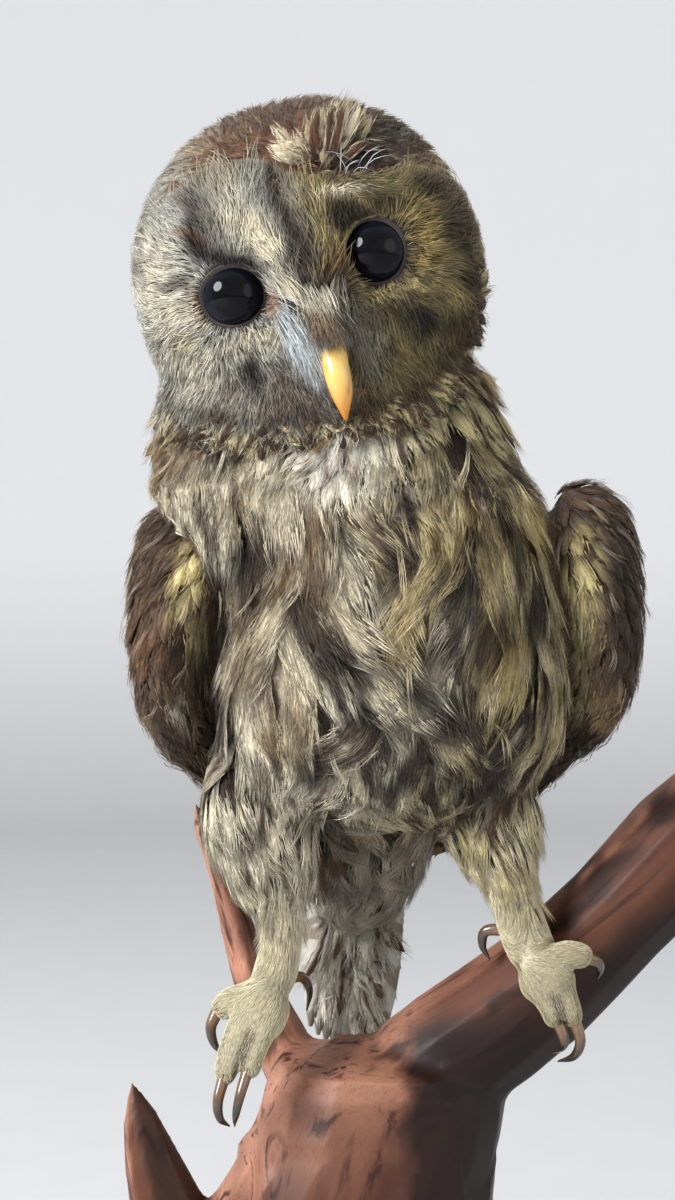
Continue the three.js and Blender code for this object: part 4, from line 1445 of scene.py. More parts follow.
def dress_legs():
    """The short down of shanks and toes, and the longer feathers that hang from the thighs."""
    for side, pad in PADS.items():
        surface = legs[side]
        flow = along_lines(LEG_LINES[side], 5.0)
        coat = Coat(f"coat_leg_{side}", round_upright(pad[:2] + (0, 8), pad[2] - 22, pad[2] + 80))
        rng = np.random.default_rng(140 + (side == "left"))

        def spacing(points):
            return np.where(points[:, 2] < pad[2] + DOWN_TOP, DOWN_GAP, 0)

        roots, normals = scatter(surface, spacing, 141)
        count = len(roots)
        high = ease(roots[:, 2] - pad[2], -2, 22)
        lengths = (3.4 + 4.5 * high) * rng.uniform(0.75, 1.25, count)
        tips = np.array([path[0] for path in CLAWS[side].values()], float)
        near_claw = np.min(np.linalg.norm(roots[:, None] - tips[None], axis=2), 1)
        lengths = lengths + 2.2 * ease(near_claw, 6, 3)
        places, ups = grow(surface, roots, normals, flow, lengths, rng, 0.09, 0.15)
        pale = PALE_LEG * rng.uniform(0.92, 1.05, (count, 1))
        pale = tint(pale, OLIVE * 1.2, (0.2 if side == "right" else 0.55) * (1 - 0.6 * high))
        pale = tint(pale, BROWN, 0.3 * ease(wobble(roots, 10, 44), 0.4, 1.4) * (1 - high))
        flat = np.array([1, 0, 1])
        crease = far_from(np.array(TOE_CREASES[side]) * flat, places[:, 3] * flat)[0]
        # painted shade: the down darker along the creases between the front toes
        pale = tint(pale, BROWN * 0.5, 0.95 * ease(crease, 2.4, 1.0) * (normals[:, 1] < 0))
        heights = rise(0.3, -0.1, rng.uniform(-0.08, 0.1, count), 0.7)
        coat.add(DOWN, places, ups, 0.8, heights, 143, pale, BROWN, -0.6)

        # longer loose feathers hang from the thigh over the top of the shank
        def thigh_spacing(points):
            in_view = (points[:, 2] > pad[2] + THIGH_FOOT) & (points[:, 2] < 264)
            gap = np.where(in_view, THIGH_GAP, 0)
            gap[in_view] = np.where(body.outside(points[in_view], -3.0), gap[in_view], 0)
            return gap

        roots, normals = scatter(surface, thigh_spacing, 144)
        count = len(roots)
        lengths = np.interp(roots[:, 2] - pad[2], [26, 40, 70], [11, 19, 24]) * rng.uniform(0.8, 1.2, count)
        places, ups = grow(surface, roots, normals, flow, lengths, rng, 0.16, 0.4)
        tone = GREY_CREAM if side == "right" else KHAKI
        pale = tint(tone, CREAM, rng.uniform(0.1, 0.9, count))
        spot = sum(oval(places[:, 4], mark) for mark in THIGH_SPOTS)
        streak = rng.uniform(-0.5, 0.25, count) + 1.2 * spot
        heights = rise(2.5, 0.2, rng.uniform(-0.6, 1.6, count))
        coat.add(FLUFF, places, ups, lengths * 0.18, heights, 145, pale, BROWN, streak)
        coat.build()


# ------------------------------------------------------------------ wings
WING_MIDDLE, WING_LEAN, WING_LEAN_BELOW = 3.5, 0.11, 270
WING_RAISE = {"right": 0, "left": 5}
WING_PATH = [
    (56, -14, 356), (68, -5, 335), (71, 7, 308), (54, 31, 281), (35, 51, 251), (13, 64, 224), (5, 72, 200),
]
WING_THICK = [(10,), (15,), (14,), (10,), (5,), (3,), (2,)]
WING_CHORD = [(16,), (30,), (33,), (24,), (17,), (10,), (6,)]
WING_FACING = [
    (1, -0.5, 0), (1, -0.3, 0), (1, 0.1, 0), (1, 0.8, 0), (0.5, 1, 0), (0.2, 1, 0), (0, 1, 0),
]

# Marks of each wing seen from the front: x, z, radii and tilt, colour, strength.
WING_MARKS = {
    "right": [
        ((-59, 329, 5.5, 12, -12), KHAKI * 1.25, 1.0), ((-56, 309, 4, 8, -10), KHAKI * 0.7, 0.8),
        ((-63, 350, 9, 6, 0), DARK, 0.75), ((-73, 312, 7, 14, 0), RUFOUS * 0.8, 0.5),
        ((-66, 290, 5, 10, 0), BROWN, 0.5), ((-63, 284, 1.5, 6, 20), CREAM, 0.8),
        ((-66, 276, 3, 6, 0), BLACKISH, 0.9),
    ],
    "left": [
        ((66, 329, 6, 16, 0), KHAKI, 0.95), ((64, 306, 5, 10, 0), KHAKI * 0.9, 0.8),
        ((62, 356, 11, 8, 0), BROWN, 0.8), ((66, 292, 5, 9, 0), KHAKI * 0.9, 0.7),
        ((80, 320, 7, 30, 0), BLACKISH, 0.75), ((74, 285, 3, 8, 20), BUFF, 0.7),
        ((66, 272, 8, 7, 0), BLACKISH, 0.9),
    ],
}


def wing_line(side):
    """The line down the middle of a folded wing, from shoulder to tip."""
    path = np.array(WING_PATH, float)
    middle = WING_MIDDLE - WING_LEAN * np.maximum(0, WING_LEAN_BELOW - path[:, 2])
    return path * (SIDES[side], 1, 1) + xyz(middle, 0, WING_RAISE[side])


def wing_places(side, along, back):
    """Places and outward normals on a wing.

    along runs from the shoulder (0) to the tip (1), and back from the lower edge (-1) to the upper one (1).
    """
    sign = SIDES[side]
    along, back = np.broadcast_arrays(np.asarray(along, float), np.asarray(back, float))
    path = wing_line(side)
    centre = catmull(path, along)
    ahead = unit(catmull(path, along + 0.01) - catmull(path, along - 0.01))
    face = catmull(np.array(WING_FACING, float) * (sign, 1, 1), along)
    out = flatten(face, ahead)
    across = np.cross(out, ahead) * sign
    back = np.clip(back, -0.999, 0.999)[..., None]
    bulge = np.sqrt(1 - back**2)
    chord, thick = catmull(WING_CHORD, along), catmull(WING_THICK, along)
    normals = unit(out * bulge / thick + across * back / chord)
    return centre + across * chord * back + out * thick * bulge, normals


BARB_GAP = 11.0
WING_ROWS = [
    # feathers, root along, root back, tip along, tip back, half width, layer
    (9, (0.50, 0.44), (-0.75, -0.1), (0.72, 0.86), (-0.8, 0.0), 7.0, -0.6),
    (10, (0.44, 0.34), (-0.1, 0.8), (0.80, 0.70), (0.0, 0.8), 7.5, 0.4),
]


def wing_colours(side, points, rng):
    """Pale colour, dark colour and streak width of each covert."""
    count = len(points)
    base = BROWN * 1.3 if side == "right" else BROWN * 1.1
    pale = tint(base, BUFF * 0.7, rng.uniform(0, 0.6, count))
    front = ease(points[:, 1], 24, 4)[:, None]
    moved = stir(points, (8, 61, 1), (8, 62, 1))
    pale = mix(pale, paint(pale, moved, WING_MARKS[side]), front)
    light = ease(pale.mean(1), 0.2, 0.42)
    dark = BROWN * 0.62 * rng.uniform(0.7, 1.4, (count, 1))
    dark = tint(dark, BUFF, light * 0.6)
    return pale, dark, 0.62 + rng.uniform(-0.2, 0.25, count) - 0.75 * light


def wing_paint(side):
    """A repaint that lays most of each mark over the coverts, by the place of each of their points."""

    def repaint(colours, points):
        marked = paint(colours, stir(points, (9, 63, 1), (11, 64, 2)), WING_MARKS[side])
        return mix(colours, marked, 0.85 * ease(points[:, 1], 24, 4)[:, None])

    return repaint


def dress_wings():
    """The flight feathers in two rows, then the coverts and some loose barbs over them."""
    for side, sign in SIDES.items():
        rng = np.random.default_rng(160 + (side == "left"))
        line = wing_line(side)

        def unwrap(points):
            round_line = np.arctan2(points[:, 0] * sign - 55, -(points[:, 1] - 12)) / (2 * math.pi)
            up = np.clip((points[:, 2] - 180) / 200, 0, 1)
            return np.stack([0.5 + 0.9 * round_line, 0.02 + 0.9 * up], 1)

        flight = Coat(f"wing_{side}_flight", unwrap, BARRED)
        for row, (count, a0, b0, a1, b1, half, layer) in enumerate(WING_ROWS):
            k = np.linspace(0, 1, count)
            start = np.stack([np.interp(k, (0, 1), a0), np.interp(k, (0, 1), b0)], 1)
            end = np.stack([np.interp(k, (0, 1), a1), np.interp(k, (0, 1), b1)], 1)
            start = start + rng.normal(0, 0.012, start.shape)
            end = end + rng.normal(0, 0.02, end.shape)
            t = np.linspace(0, 1, SPINE + 2)[None]
            along = start[:, :1] * (1 - t) + end[:, :1] * t
            back = start[:, 1:] * (1 - t) + end[:, 1:] * t
            places, ups = wing_places(side, along, back)
            heights = layer - 2.4 + np.linspace(0, 1.2, count)[:, None] + 0.8 * t
            pale = tint(BROWN * 1.8, BUFF, rng.uniform(0, 0.5, count))
            dark = DARK * rng.uniform(0.8, 1.2, (count, 1))
            flight.add(FLIGHT, places, ups, half, heights, 163 + row, pale, dark, 0.15)
        flight.build(f"wing_{side}_primaries")

        surface = wings[side]
        flow = along_lines([line], 12.0)
        coat = Coat(f"coat_wing_{side}", unwrap)

        def spacing(points):
            gap = np.interp(points[:, 2], [250, 300, 350], [5.4, 4.8, 4.0])
            covered = (points[:, 2] < 262) | ((points[:, 1] > 40) & (points[:, 2] < 275))
            gap = np.where(covered, 0, gap)
            seen = gap > 0
            gap[seen] = np.where(body.outside(points[seen], -4.0), gap[seen], 0)
            return gap

        roots, normals = scatter(surface, spacing, 165, (1, 1, 1.5))
        count = len(roots)
        lengths = np.interp(roots[:, 2], [262, 300, 360], [24, 20, 13]) * rng.uniform(0.85, 1.2, count)
        places, ups = grow(surface, roots, normals, flow, lengths, rng, 0.1, 0.3, 0.3)
        pale, dark, streak = wing_colours(side, places[:, 4], rng)
        heights = rise(2.2, 0.2, rng.uniform(-0.4, 0.6, count))
        coat.add(SMALL, places, ups, lengths * 0.27, heights, 166, pale, dark, streak, wing_paint(side))

        # fine loose barbs over the coverts
        def loose_spacing(points):
            return np.where((points[:, 2] > 272) & (points[:, 1] < 30), BARB_GAP, 0)

        roots, normals = scatter(surface, loose_spacing, 167)
        count = len(roots)
        headings = flow(roots, normals) + rng.normal(0, 0.4, roots.shape)
        lengths = rng.uniform(10, 18, count)
        places, ups = lay(surface, roots, headings, lengths, rng.normal(0, 1.0, count), flow, 0.1)
        pale = tint(wing_colours(side, places[:, 2], rng)[0], GREY_CREAM, 0.3)
        coat.add(WISP, places, ups, 2.0, rise(0.5, 0.6, rng.uniform(0, 0.8, count)), 168, pale, pale, -0.4)
        coat.build(f"wing_{side}_coverts")


# ------------------------------------------------------------------ tail
TAIL_PATH = [(1, 50, 262), (-2, 60, 232), (-6, 69, 200), (-8, 77, 156)]
TAIL_FEATHERS, TAIL_LOOSE, TAIL_COVERTS = 11, 64, 60
COVERTS_END = 0.34  # how far along the tail its coverts start at most


def dress_tail():
    """The tail's long feathers, loose ones over their front, and coverts over their root."""
    coat = Coat("coat_tail", round_upright((0, 60), 150, 270), BARRED)
    rng = np.random.default_rng(170)
    k = np.linspace(-1, 1, TAIL_FEATHERS)
    t = np.linspace(0, 1, SPINE + 2)
    path = catmull(TAIL_PATH, t)
    spread = 6 + 8.0 * t
    places = path[None] + (k[:, None] * spread[None])[..., None] * np.array([1.0, 0, 0])
    places[:, :, 1] -= (np.abs(k) * 3.4)[:, None]
    places[:, :, 2] += (np.abs(k) ** 2 * 9)[:, None] * t[None]
    ahead = unit(np.gradient(places, axis=1))
    ups = flatten(np.broadcast_to((0.0, 1.0, 0.3), places.shape), ahead)
    pale = tint(GREY_CREAM, WHITE, rng.uniform(0.0, 0.9, TAIL_FEATHERS))
    coat.add(FLIGHT, places, ups, 7.0, 0.0, 171, pale * 0.72, srgb(152, 140, 124), -0.1)

    # loose pale feathers over the front of the tail
    count = TAIL_LOOSE
    down = rng.uniform(0.38, 0.8, count)
    wide = 5 + 9 * down
    middle = catmull(TAIL_PATH, down)
    roots = middle + xyz(rng.uniform(-1, 0.8, count) * wide, rng.uniform(-9, -3, count), 0)
    first = unit(xyz(rng.normal(-0.05, 0.2, count), 0.1, -1.0))
    last = unit(first + rng.normal(0, 0.35, (count, 3)))
    ups = unit(xyz(rng.normal(0, 0.5, count), -1.0, -0.2))
    places, ups = arcs(roots, first, last, rng.uniform(16, 28, count), ups)
    pale = tint(GREY_CREAM, WHITE, rng.uniform(0, 1.0, count))
    half = rng.uniform(3.2, 5.6, count)
    streak = rng.uniform(-0.4, 0.5, count)
    loose = Coat("coat_tail_loose", coat.unwrap)
    loose.add(THROAT, places, ups, half, 0.0, 172, pale * 0.95, BROWN, streak)

    # brown coverts over the root of the tail at the back
    count = TAIL_COVERTS
    down = rng.uniform(0, COVERTS_END, count)
    middle = catmull(TAIL_PATH, down)
    roots = middle + xyz(rng.uniform(-10, 10, count), 3 + 5 * rng.uniform(0, 1, count), 8 - 12 * down)
    first = unit(xyz(rng.normal(0, 0.16, count), 0.3, -1.0))
    last = unit(first + rng.normal(0, 0.14, (count, 3)))
    ups = unit(xyz(rng.normal(0, 0.3, count), 1.0, 0.3))
    places, ups = arcs(roots, first, last, rng.uniform(20, 30, count), ups)
    pale = tint(BUFF * 0.8, GREY_CREAM, rng.uniform(0, 0.6, count) * down / COVERTS_END)
    streak = rng.uniform(0.0, 0.6, count)
    loose.add(THROAT, places, ups, rng.uniform(4.5, 6.5, count), 0.0, 173, pale, BROWN * 0.8, streak)
    coat.build("tail")
    loose.build()


# ------------------------------------------------------------------ skin
# How far the skin lies under the solids' surface; in the hollow it lies that much deeper still.
FACE_DEPTH, FOOT_DEPTH, WING_DEPTH, HOLLOW_DEPTH = 1.6, 0.6, 1.6, 5.0


def foot_share(points):
    """1 on the feet and shanks, and 0 further up."""
    low = np.minimum.reduce([np.linalg.norm(points - pad - (0, 6, 12), axis=1) for pad in PADS.values()])
    return ease(low, 58, 48) * ease(points[:, 2], 234, 226)


def coat_depth(points):
    """How far the skin lies under the solids' surface, except on the wings."""
    p = to_head(points)
    face = ease(p[:, 1], -12, -22) * ease(p[:, 2], -50, -40)
    depth = mix(BODY_DEPTH, FACE_DEPTH, face) + HOLLOW_DEPTH * hollow(points)
    return mix(depth, FOOT_DEPTH, foot_share(points))


def skin_colours(points):
    """The skin's colours: those of the coat over it, made a good deal darker as painted shade for where it
    shows between the feathers.
    """
    rng = np.random.default_rng(180)
    pale, dark, streak = body_colours(points, rng)
    share = np.clip(0.4 + streak * 0.5, 0, 1)[:, None]
    colour = mix(pale, dark, share) * 0.6
    # painted shade: near black in the hollow between the right flank and the wing
    colour = tint(colour, BLACKISH * 0.7, hollow(points))
    p = to_head(points)
    crown = head_share(points) * (1 - in_face(p))
    colour = tint(colour, CHESTNUT * 0.5, crown)
    # the same painted shade beside the tuft, on the skin
    near_hollow = crown[:, None] * ease(p[:, 1], 10, -5)[:, None]
    colour = mix(colour, paint(colour, p, CROWN_HOLLOW_SHADES), near_hollow)
    colour = mix(colour, face_colours(p) * 0.7, in_face(p)[:, None])
    # painted shade: nearly black under the tail
    colour = tint(colour, GREY * 0.3, vent_share(points))
    # the feet's skin is a darker copy of the leg colour, as painted shade between the toes
    return tint(colour, PALE_LEG * 0.62, foot_share(points))


def make_skin():
    """The one closed skin under the whole coat, from crown to toes."""
    names = [n.format(s) for s in SIDES for n in LEG_PARTS]
    tubes = [tube for s in SIDES for tube in leg_tubes(s)]
    verts, tris = shell("skin", FLESH + [f"wing_{s}_coverts" for s in SIDES], tubes)
    surface = Surface(verts, tris)
    colours = skin_colours(verts)
    depth = coat_depth(verts)
    for side in SIDES:
        near = np.linalg.norm(verts - wings[side].nearest(verts)[0], axis=1)
        on_wing = ease(near, 2.5, 1.0)
        depth = mix(depth, WING_DEPTH, on_wing)
        below = ease(verts[:, 2], 280, 262)[:, None]
        colours = tint(colours, mix(BROWN * 0.6, GREY * 0.3, below), on_wing)
    verts = verts - surface.normals * (depth + SHELLS["skin"][0])[:, None]
    s = Shader("owl_skin")
    grain = s.noise(s.place(), 900.0, 3.0, 0.6)
    s.bump(grain, 0.5, 0.3)
    shade = s.grey(s.ramp(grain, 0.3, 0.7, 0.7, 1.15))
    s.set(Base_Color=s.mix(1.0, s.attribute("tone", True), shade, "MULTIPLY"), Roughness=0.85)
    dress(new_object("owl_skin", verts, tris, tone=colours), s.material, *FLESH, *names)


# ------------------------------------------------------------------ eyes, bill and claws
EYE_RINGS, EYE_AROUND = 40, 64
LID_AROUND, LID_SECTION = 72, 10  # points round the eye and round the lid's own section
SKIRT = 4.2  # how far the skin round the eye reaches out from the lid
SKIRT_SINK, SKIRT_RANGE = 1.2, 3.5  # how deep its edge lies in the face, and how far it may leave its mean
LASHES = 620


def make_eye(side):
    """A glass eye: a smooth ball, near black, with a faint ring round its dark middle."""
    eye = EYES[side]
    polar = np.linspace(0, math.pi, EYE_RINGS + 1)[1:-1]
    angle = np.linspace(0, 2 * math.pi, EYE_AROUND, endpoint=False)
    wide = np.sin(polar)[:, None]
    rings = xyz(wide * np.cos(angle), -np.cos(polar)[:, None], wide * np.sin(angle))
    ball, tris = closed_tube(rings, (0, -1, 0), (0, 1, 0))
    radius = np.hypot(ball[:, 0], ball[:, 2])
    obj = new_object(f"glass_eye_{side}", from_head(eye + ball * EYE_RADIUS), tris, radius=radius)
    s = Shader(f"glass_eye_{side}")
    out = s.attribute("radius")
    iris = s.ramp(out, 0.52, 0.62)
    colour = s.mix(iris, srgb(5, 5, 8), srgb(13, 14, 22))
    rim = s.ramp(out, 0.82, 0.88)
    colour = s.mix(rim, colour, srgb(62, 58, 68))
    s.set(Base_Color=colour, Roughness=0.03, IOR=1.27)
    dress(obj, s.material, f"eye_{side}")


def lid_ring(side, angle, lift=0.25):
    """Places round the edge of the eye's opening, on the ball, in the head frame."""
    wide, high = LID_WIDE[side]
    ring = xyz(np.cos(angle) * wide, 0, np.sin(angle) * high)
    ring[:, 1] = -np.sqrt(np.maximum((EYE_RADIUS + lift) ** 2 - ring[:, 0] ** 2 - ring[:, 2] ** 2, 1))
    return ring + EYES[side]


def lid_skirt(side, angle):
    """Places in the face's surface a little further out than the lid, in the head frame."""
    wide, high = LID_WIDE[side]
    eye = EYES[side]
    spots = np.stack([eye[0] + np.cos(angle) * (wide + SKIRT), eye[2] + np.sin(angle) * (high + SKIRT)], 1)
    places, normals = on_front(spots)
    places = to_head(places - normals * SKIRT_SINK)
    middle = np.median(places[:, 1])
    places[:, 1] = np.clip(places[:, 1], middle - SKIRT_RANGE, middle + SKIRT_RANGE)
    return places


def make_lid(side):
    """The eye's bare rim, heavier above, the skin round it, and the small feathers on that skin."""
    angle = np.linspace(0, 2 * math.pi, LID_AROUND, endpoint=False)
    ring, skirt = lid_ring(side, angle), lid_skirt(side, angle)
    outward = unit((ring - EYES[side]) * (1, 0, 1))
    front = unit(ring - EYES[side])
    thick = 0.42 + 0.4 * ease(np.sin(angle), -0.2, 0.9)
    turn = np.linspace(0, 2 * math.pi, LID_SECTION, endpoint=False)
    rim = ring[:, None] + (
        outward[:, None] * (np.cos(turn)[None] * thick[:, None] * 1.25)[..., None]
        + front[:, None] * (np.sin(turn)[None] * thick[:, None] * 0.8)[..., None]
    )
    band = np.stack([ring, (ring + skirt) / 2, skirt, skirt + (0, 2, 0), ring + (0, 2, 0)], 1)
    s = Shader(f"eyelid_{side}")
    grain = s.noise(s.place(), 1400.0, 3.0)
    s.bump(grain, 0.6, 0.2)
    s.set(Base_Color=s.mix(grain, srgb(22, 18, 18), srgb(58, 44, 38)), Roughness=0.5)
    for name, rows in (("eyelid", rim), ("eye_skirt", band)):
        section = rows.shape[1]
        tris = np.array(ring_tris(LID_AROUND + 1, section)) % (LID_AROUND * section)
        dress(new_object(f"{name}_{side}", from_head(rows.reshape(-1, 3)), tris), s.material)

    rng = np.random.default_rng(155 + (side == "left"))
    angle = rng.uniform(0, 2 * math.pi, LASHES)
    inner, outer = lid_ring(side, angle, 0.6), lid_skirt(side, angle)
    t = rng.uniform(0.08, 1.0, (LASHES, 1))
    roots = inner * (1 - t) + outer * t
    way = unit(outer - inner)
    way = unit(way + np.cross(way, (0.0, 1.0, 0.0)) * rng.normal(0, 0.25, (LASHES, 1)))
    ups = np.broadcast_to(turn_from_head((0.0, -1.0, 0.0)), roots.shape)
    first = unit(turn_from_head(way) + ups * rng.uniform(0.1, 0.4, (LASHES, 1)))
    places, ups = arcs(from_head(roots), first, turn_from_head(way), rng.uniform(3.0, 6.0, LASHES), ups)
    level = np.repeat(rng.uniform(0.7, 1.25, (LASHES, 1)), 3, 1)
    coat = Coat(f"coat_lid_{side}", round_head)
    coat.add(HAIR, places, ups, 0.9, 0.0, 156, level, level, -0.5, face_paint).build()


# The bill's halves in the head frame: path, half widths, half heights, and (stations, points around, keel).
BILL = {
    "upper": (
        [(0, -36, -15), (0, -44.5, -18), (-0.3, -51.5, -25), (-0.8, -54, -33.5), (-1.9, -52, -42.2)],
        [5.2, 4.9, 4.2, 3.4, 0.4],
        [4.2, 4.4, 4.2, 3.2, 0.5],
        (36, 24, 0.25),
    ),
    "lower": (
        [(0, -35, -26), (-0.3, -41, -29.5), (-1.0, -47, -35.5)],
        [4.0, 3.6, 1.4],
        [2.2, 2.0, 0.8],
        (20, 20, 0.0),
    ),
}


def make_bill():
    """The two halves of the bill, one over the other."""
    s = Shader("bill_horn")
    along = s.attribute("along")
    place = s.place()
    stretched = s.add("ShaderNodeMapping", {"Vector": place, "Scale": (1, 1, 0.35)}).outputs[0]
    mottle = s.noise(stretched, 260.0, 3.0, 0.6)
    colour = s.mix(s.ramp(along, 0.25, 0.5), srgb(150, 128, 96), srgb(226, 188, 104))
    colour = s.mix(s.ramp(along, 0.55, 0.95), colour, srgb(222, 146, 58))
    colour = s.mix(s.times(s.ramp(mottle, 0.5, 0.72), 0.6), colour, srgb(176, 116, 58))
    s.bump(mottle, 0.15, 0.2)
    s.set(Base_Color=colour, Roughness=0.28, Coat_Weight=0.5, Coat_Roughness=0.15)
    for half, (path, wide, high, rest) in BILL.items():
        verts, tris, along = loft(path, wide, high, (1, 0, 0), *rest)
        obj = new_object(f"bill_{half}_horn", from_head(verts), tris, along=along)
        dress(obj, s.material, f"bill_{half}")


CLAWS = {
    "right": {
        "outer": [(-50, -20, 192.5), (-52.3, -21, 187), (-51.2, -22, 182), (-48, -23, 178.3)],
        "middle": [(-47.3, -31.5, 174.5), (-49.2, -34, 167), (-48.6, -33.5, 161.5), (-45.8, -30, 158)],
        "inner": [(-40, -32.5, 176.5), (-42.3, -35.5, 169), (-43.6, -35, 163), (-44.2, -31.5, 158.3)],
        "hind": [(-30, -0.5, 197.5), (-24, 5, 197.5), (-21.3, 7, 192.5), (-22.3, 8.5, 185.5)],
    },
    "left": {
        "outer": [(66, -25.5, 210), (70.3, -24, 208.3), (71.6, -21.5, 205.5), (71, -19.5, 202)],
        "middle": [(61.8, -28.5, 192.5), (64, -31, 185), (62.2, -28.5, 179.5), (57.8, -24, 176.8)],
        "inner": [(56.3, -28.5, 192.5), (58.8, -31, 186), (58.4, -29, 182.5), (56.2, -25.5, 180)],
        "hind": [(43.5, -13, 216.5), (36.2, -11, 215.8), (35, -10.5, 211), (37.3, -10.5, 206.5)],
    },
}


CLAW_WIDE, CLAW_HIGH = [1.9, 1.6, 1.15, 0.2], [2.2, 1.8, 1.3, 0.25]  # half measures from root to tip


def make_claws():
    """A curved claw at the end of each toe."""
    s = Shader("claw_horn")
    along = s.attribute("along")
    grain = s.noise(s.place(), 700.0, 3.0)
    colour = s.mix(s.ramp(along, 0.05, 0.6), srgb(124, 94, 68), srgb(30, 24, 22))
    colour = s.mix(s.times(grain, 0.4), colour, srgb(86, 70, 56))
    s.set(Base_Color=colour, Roughness=0.22, Coat_Weight=0.6)
    for side, toes in CLAWS.items():
        for toe, path in toes.items():
            path = np.array(path, float)
            across = np.cross(path[1] - path[0], path[3] - path[1])
            verts, tris, along = loft(path, CLAW_WIDE, CLAW_HIGH, unit(across), 22, 14)
            obj = new_object(f"talon_{side}_{toe}", verts, tris, along=along)
            dress(obj, s.material, f"claw_{side}_{toe}")


# ------------------------------------------------------------------ perch
PERCH_NODES = ["perch_stump", "perch_trunk", "perch_branch", "perch_prong", "perch_spike"]
PERCH_AXES = [
    [(0, 2, 0), (-4, 3, 60), (-8, 4, 104), (-6, 4, 126), (1, 4, 146), (2, 5, 164)],
    [
        (-4, 5, 140), (2, 6, 156), (26, 5, 172), (55, 4, 194), (81, 4, 219), (103, 4, 242), (130, 3, 269),
        (149, 2, 293),
    ],
    [(-12, 20, 132), (-20, 22, 150), (-36, 25, 180), (-45, 27, 205), (-53, 28, 232), (-62, 27, 254)],
    [(-50, 4, 60), (-58, 4, 88), (-66, 3, 112), (-74, 2, 138), (-80.5, 1, 165)],
]
GRAIN_DOTS = 40  # along each axis
GRAIN_BLEND = 9.0
GRAIN_STRETCH = 0.14  # how slowly the grain changes along the wood
CUT_SPACING = 24.0
MOST_CUT = 0.1  # the deepest cut, as a share of the wood's thickness
TRUNK_HEART = np.array([[0.0, 4.0, 135.0]])
BROAD_DEPTH = 2.6
BROAD_CUTS = [-68, -27, 12, 52, 95, 140, 185, 230]  # degrees round the trunk from straight ahead
# The top edge of the dark region, x then z seen from the front: a stain on the wood, and under the branch
# partly painted shade.
DARK_EDGE = [
    (-400, 100), (9, 100), (11, 184), (40, 189), (59, 195), (85, 222), (96, 233), (130, 262), (160, 290),
]

# Dark marks burnt into the wood, seen from the front: x, z, radii and tilt.
SCORCHES = [
    (74, 233, 15, 4.5, 42), (63, 219, 10, 3, 40), (96, 256, 12, 4, 40), (112, 262, 10, 3, 38),
    (36, 190, 16, 2, 36), (10, 178, 12, 2, 20), (50, 200, 10, 2, 40),
]


def perch_grain(points):
    """The way the grain runs, coordinates that change slowly along it, and how far out each point is."""
    dots, ways = line_dots(PERCH_AXES, GRAIN_DOTS)
    steps = np.linalg.norm(np.diff(dots.reshape(-1, GRAIN_DOTS, 3), axis=1), axis=2)
    runs = [np.append(0, np.cumsum(step)) + axis[0][2] for axis, step in zip(PERCH_AXES, steps)]
    weight = closeness(points, dots, GRAIN_BLEND)
    weight /= weight.sum(1, keepdims=True)
    way = unit(weight @ ways)
    across = points - weight @ dots
    thick = np.linalg.norm(square_to(across, way), axis=1)
    return way, across + xyz(0, 0, (weight @ np.concatenate(runs)) * GRAIN_STRETCH), thick


def cut_wood(surface):
    """The perch's vertices after long shallow knife cuts all over it, and broader ones round its trunk."""
    verts = surface.verts
    rng = np.random.default_rng(190)
    spots, normals = scatter(surface, lambda points: np.full(len(points), CUT_SPACING), 191)
    cuts = [(spot, normal, 0.0) for spot, normal in zip(spots, normals)]
    for angle in np.radians(BROAD_CUTS):
        outward = np.array([math.sin(angle), -math.cos(angle), 0.08])
        place, _ = surface.struck(TRUNK_HEART + outward * 90, tuple(-outward))
        cuts.append((place[0], unit(outward), BROAD_DEPTH))
    push = np.zeros(len(verts))
    for centre, normal, extra in cuts:
        way, _, thick = perch_grain(centre[None])
        way = flatten(way + rng.normal(0, 0.06, (1, 3)), normal[None])[0]
        depth = np.clip(thick[0] * 0.07, 0.3, 2.3) * rng.uniform(0.7, 1.2) + extra
        reach = rng.uniform(28, 50) + 16 * extra
        offset = verts - centre
        run = offset @ way / reach
        over = offset @ normal + depth * (1 - run**2)
        agree = ease(surface.normals @ normal, 0.3, 0.6)
        push = np.maximum(push, np.clip(over, 0, depth * 1.1) * agree)
    push = np.minimum(push, MOST_CUT * perch_grain(verts)[2])
    verts = verts - surface.normals * push[:, None]
    verts[:, 2] = np.maximum(verts[:, 2], 0)
    return verts


def wood_material():
    """Red-brown varnished wood, with a pale painted highlight on the faces turned to the light, and nearly
    black where stained and where shade is painted.
    """
    s = Shader("varnished_wood")
    coords = s.attribute("grain", True)
    fibre = s.noise(coords, 1.3, 4.0, 0.65)
    streaks = s.noise(coords, 0.16, 4.0, 0.6, 0.6)
    bands = s.noise(coords, 0.07, 3.0, 0.55, 0.4)
    colour = s.mix(s.ramp(bands, 0.32, 0.66), srgb(94, 58, 41), srgb(66, 39, 30))
    # painted highlight: the varnish's glare on the faces turned to the light
    colour = s.mix(s.attribute("worn"), colour, srgb(190, 136, 112))
    colour = s.mix(s.times(s.ramp(streaks, 0.52, 0.66), 0.9), colour, srgb(44, 25, 20))
    colour = s.mix(s.times(s.ramp(fibre, 0.45, 0.75), 0.45), colour, srgb(92, 44, 28))
    # dark stain, and painted shade on the faces turned down and away from the light
    stain = s.attribute("stain")
    colour = s.mix(s.times(stain, 0.9), colour, srgb(22, 13, 13))
    s.bump(fibre, 0.22, 0.3)
    s.set(Base_Color=colour, Roughness=0.5, Specular_IOR_Level=0.2)
    return s.set(Coat_Weight=0.05, Coat_Roughness=0.3)


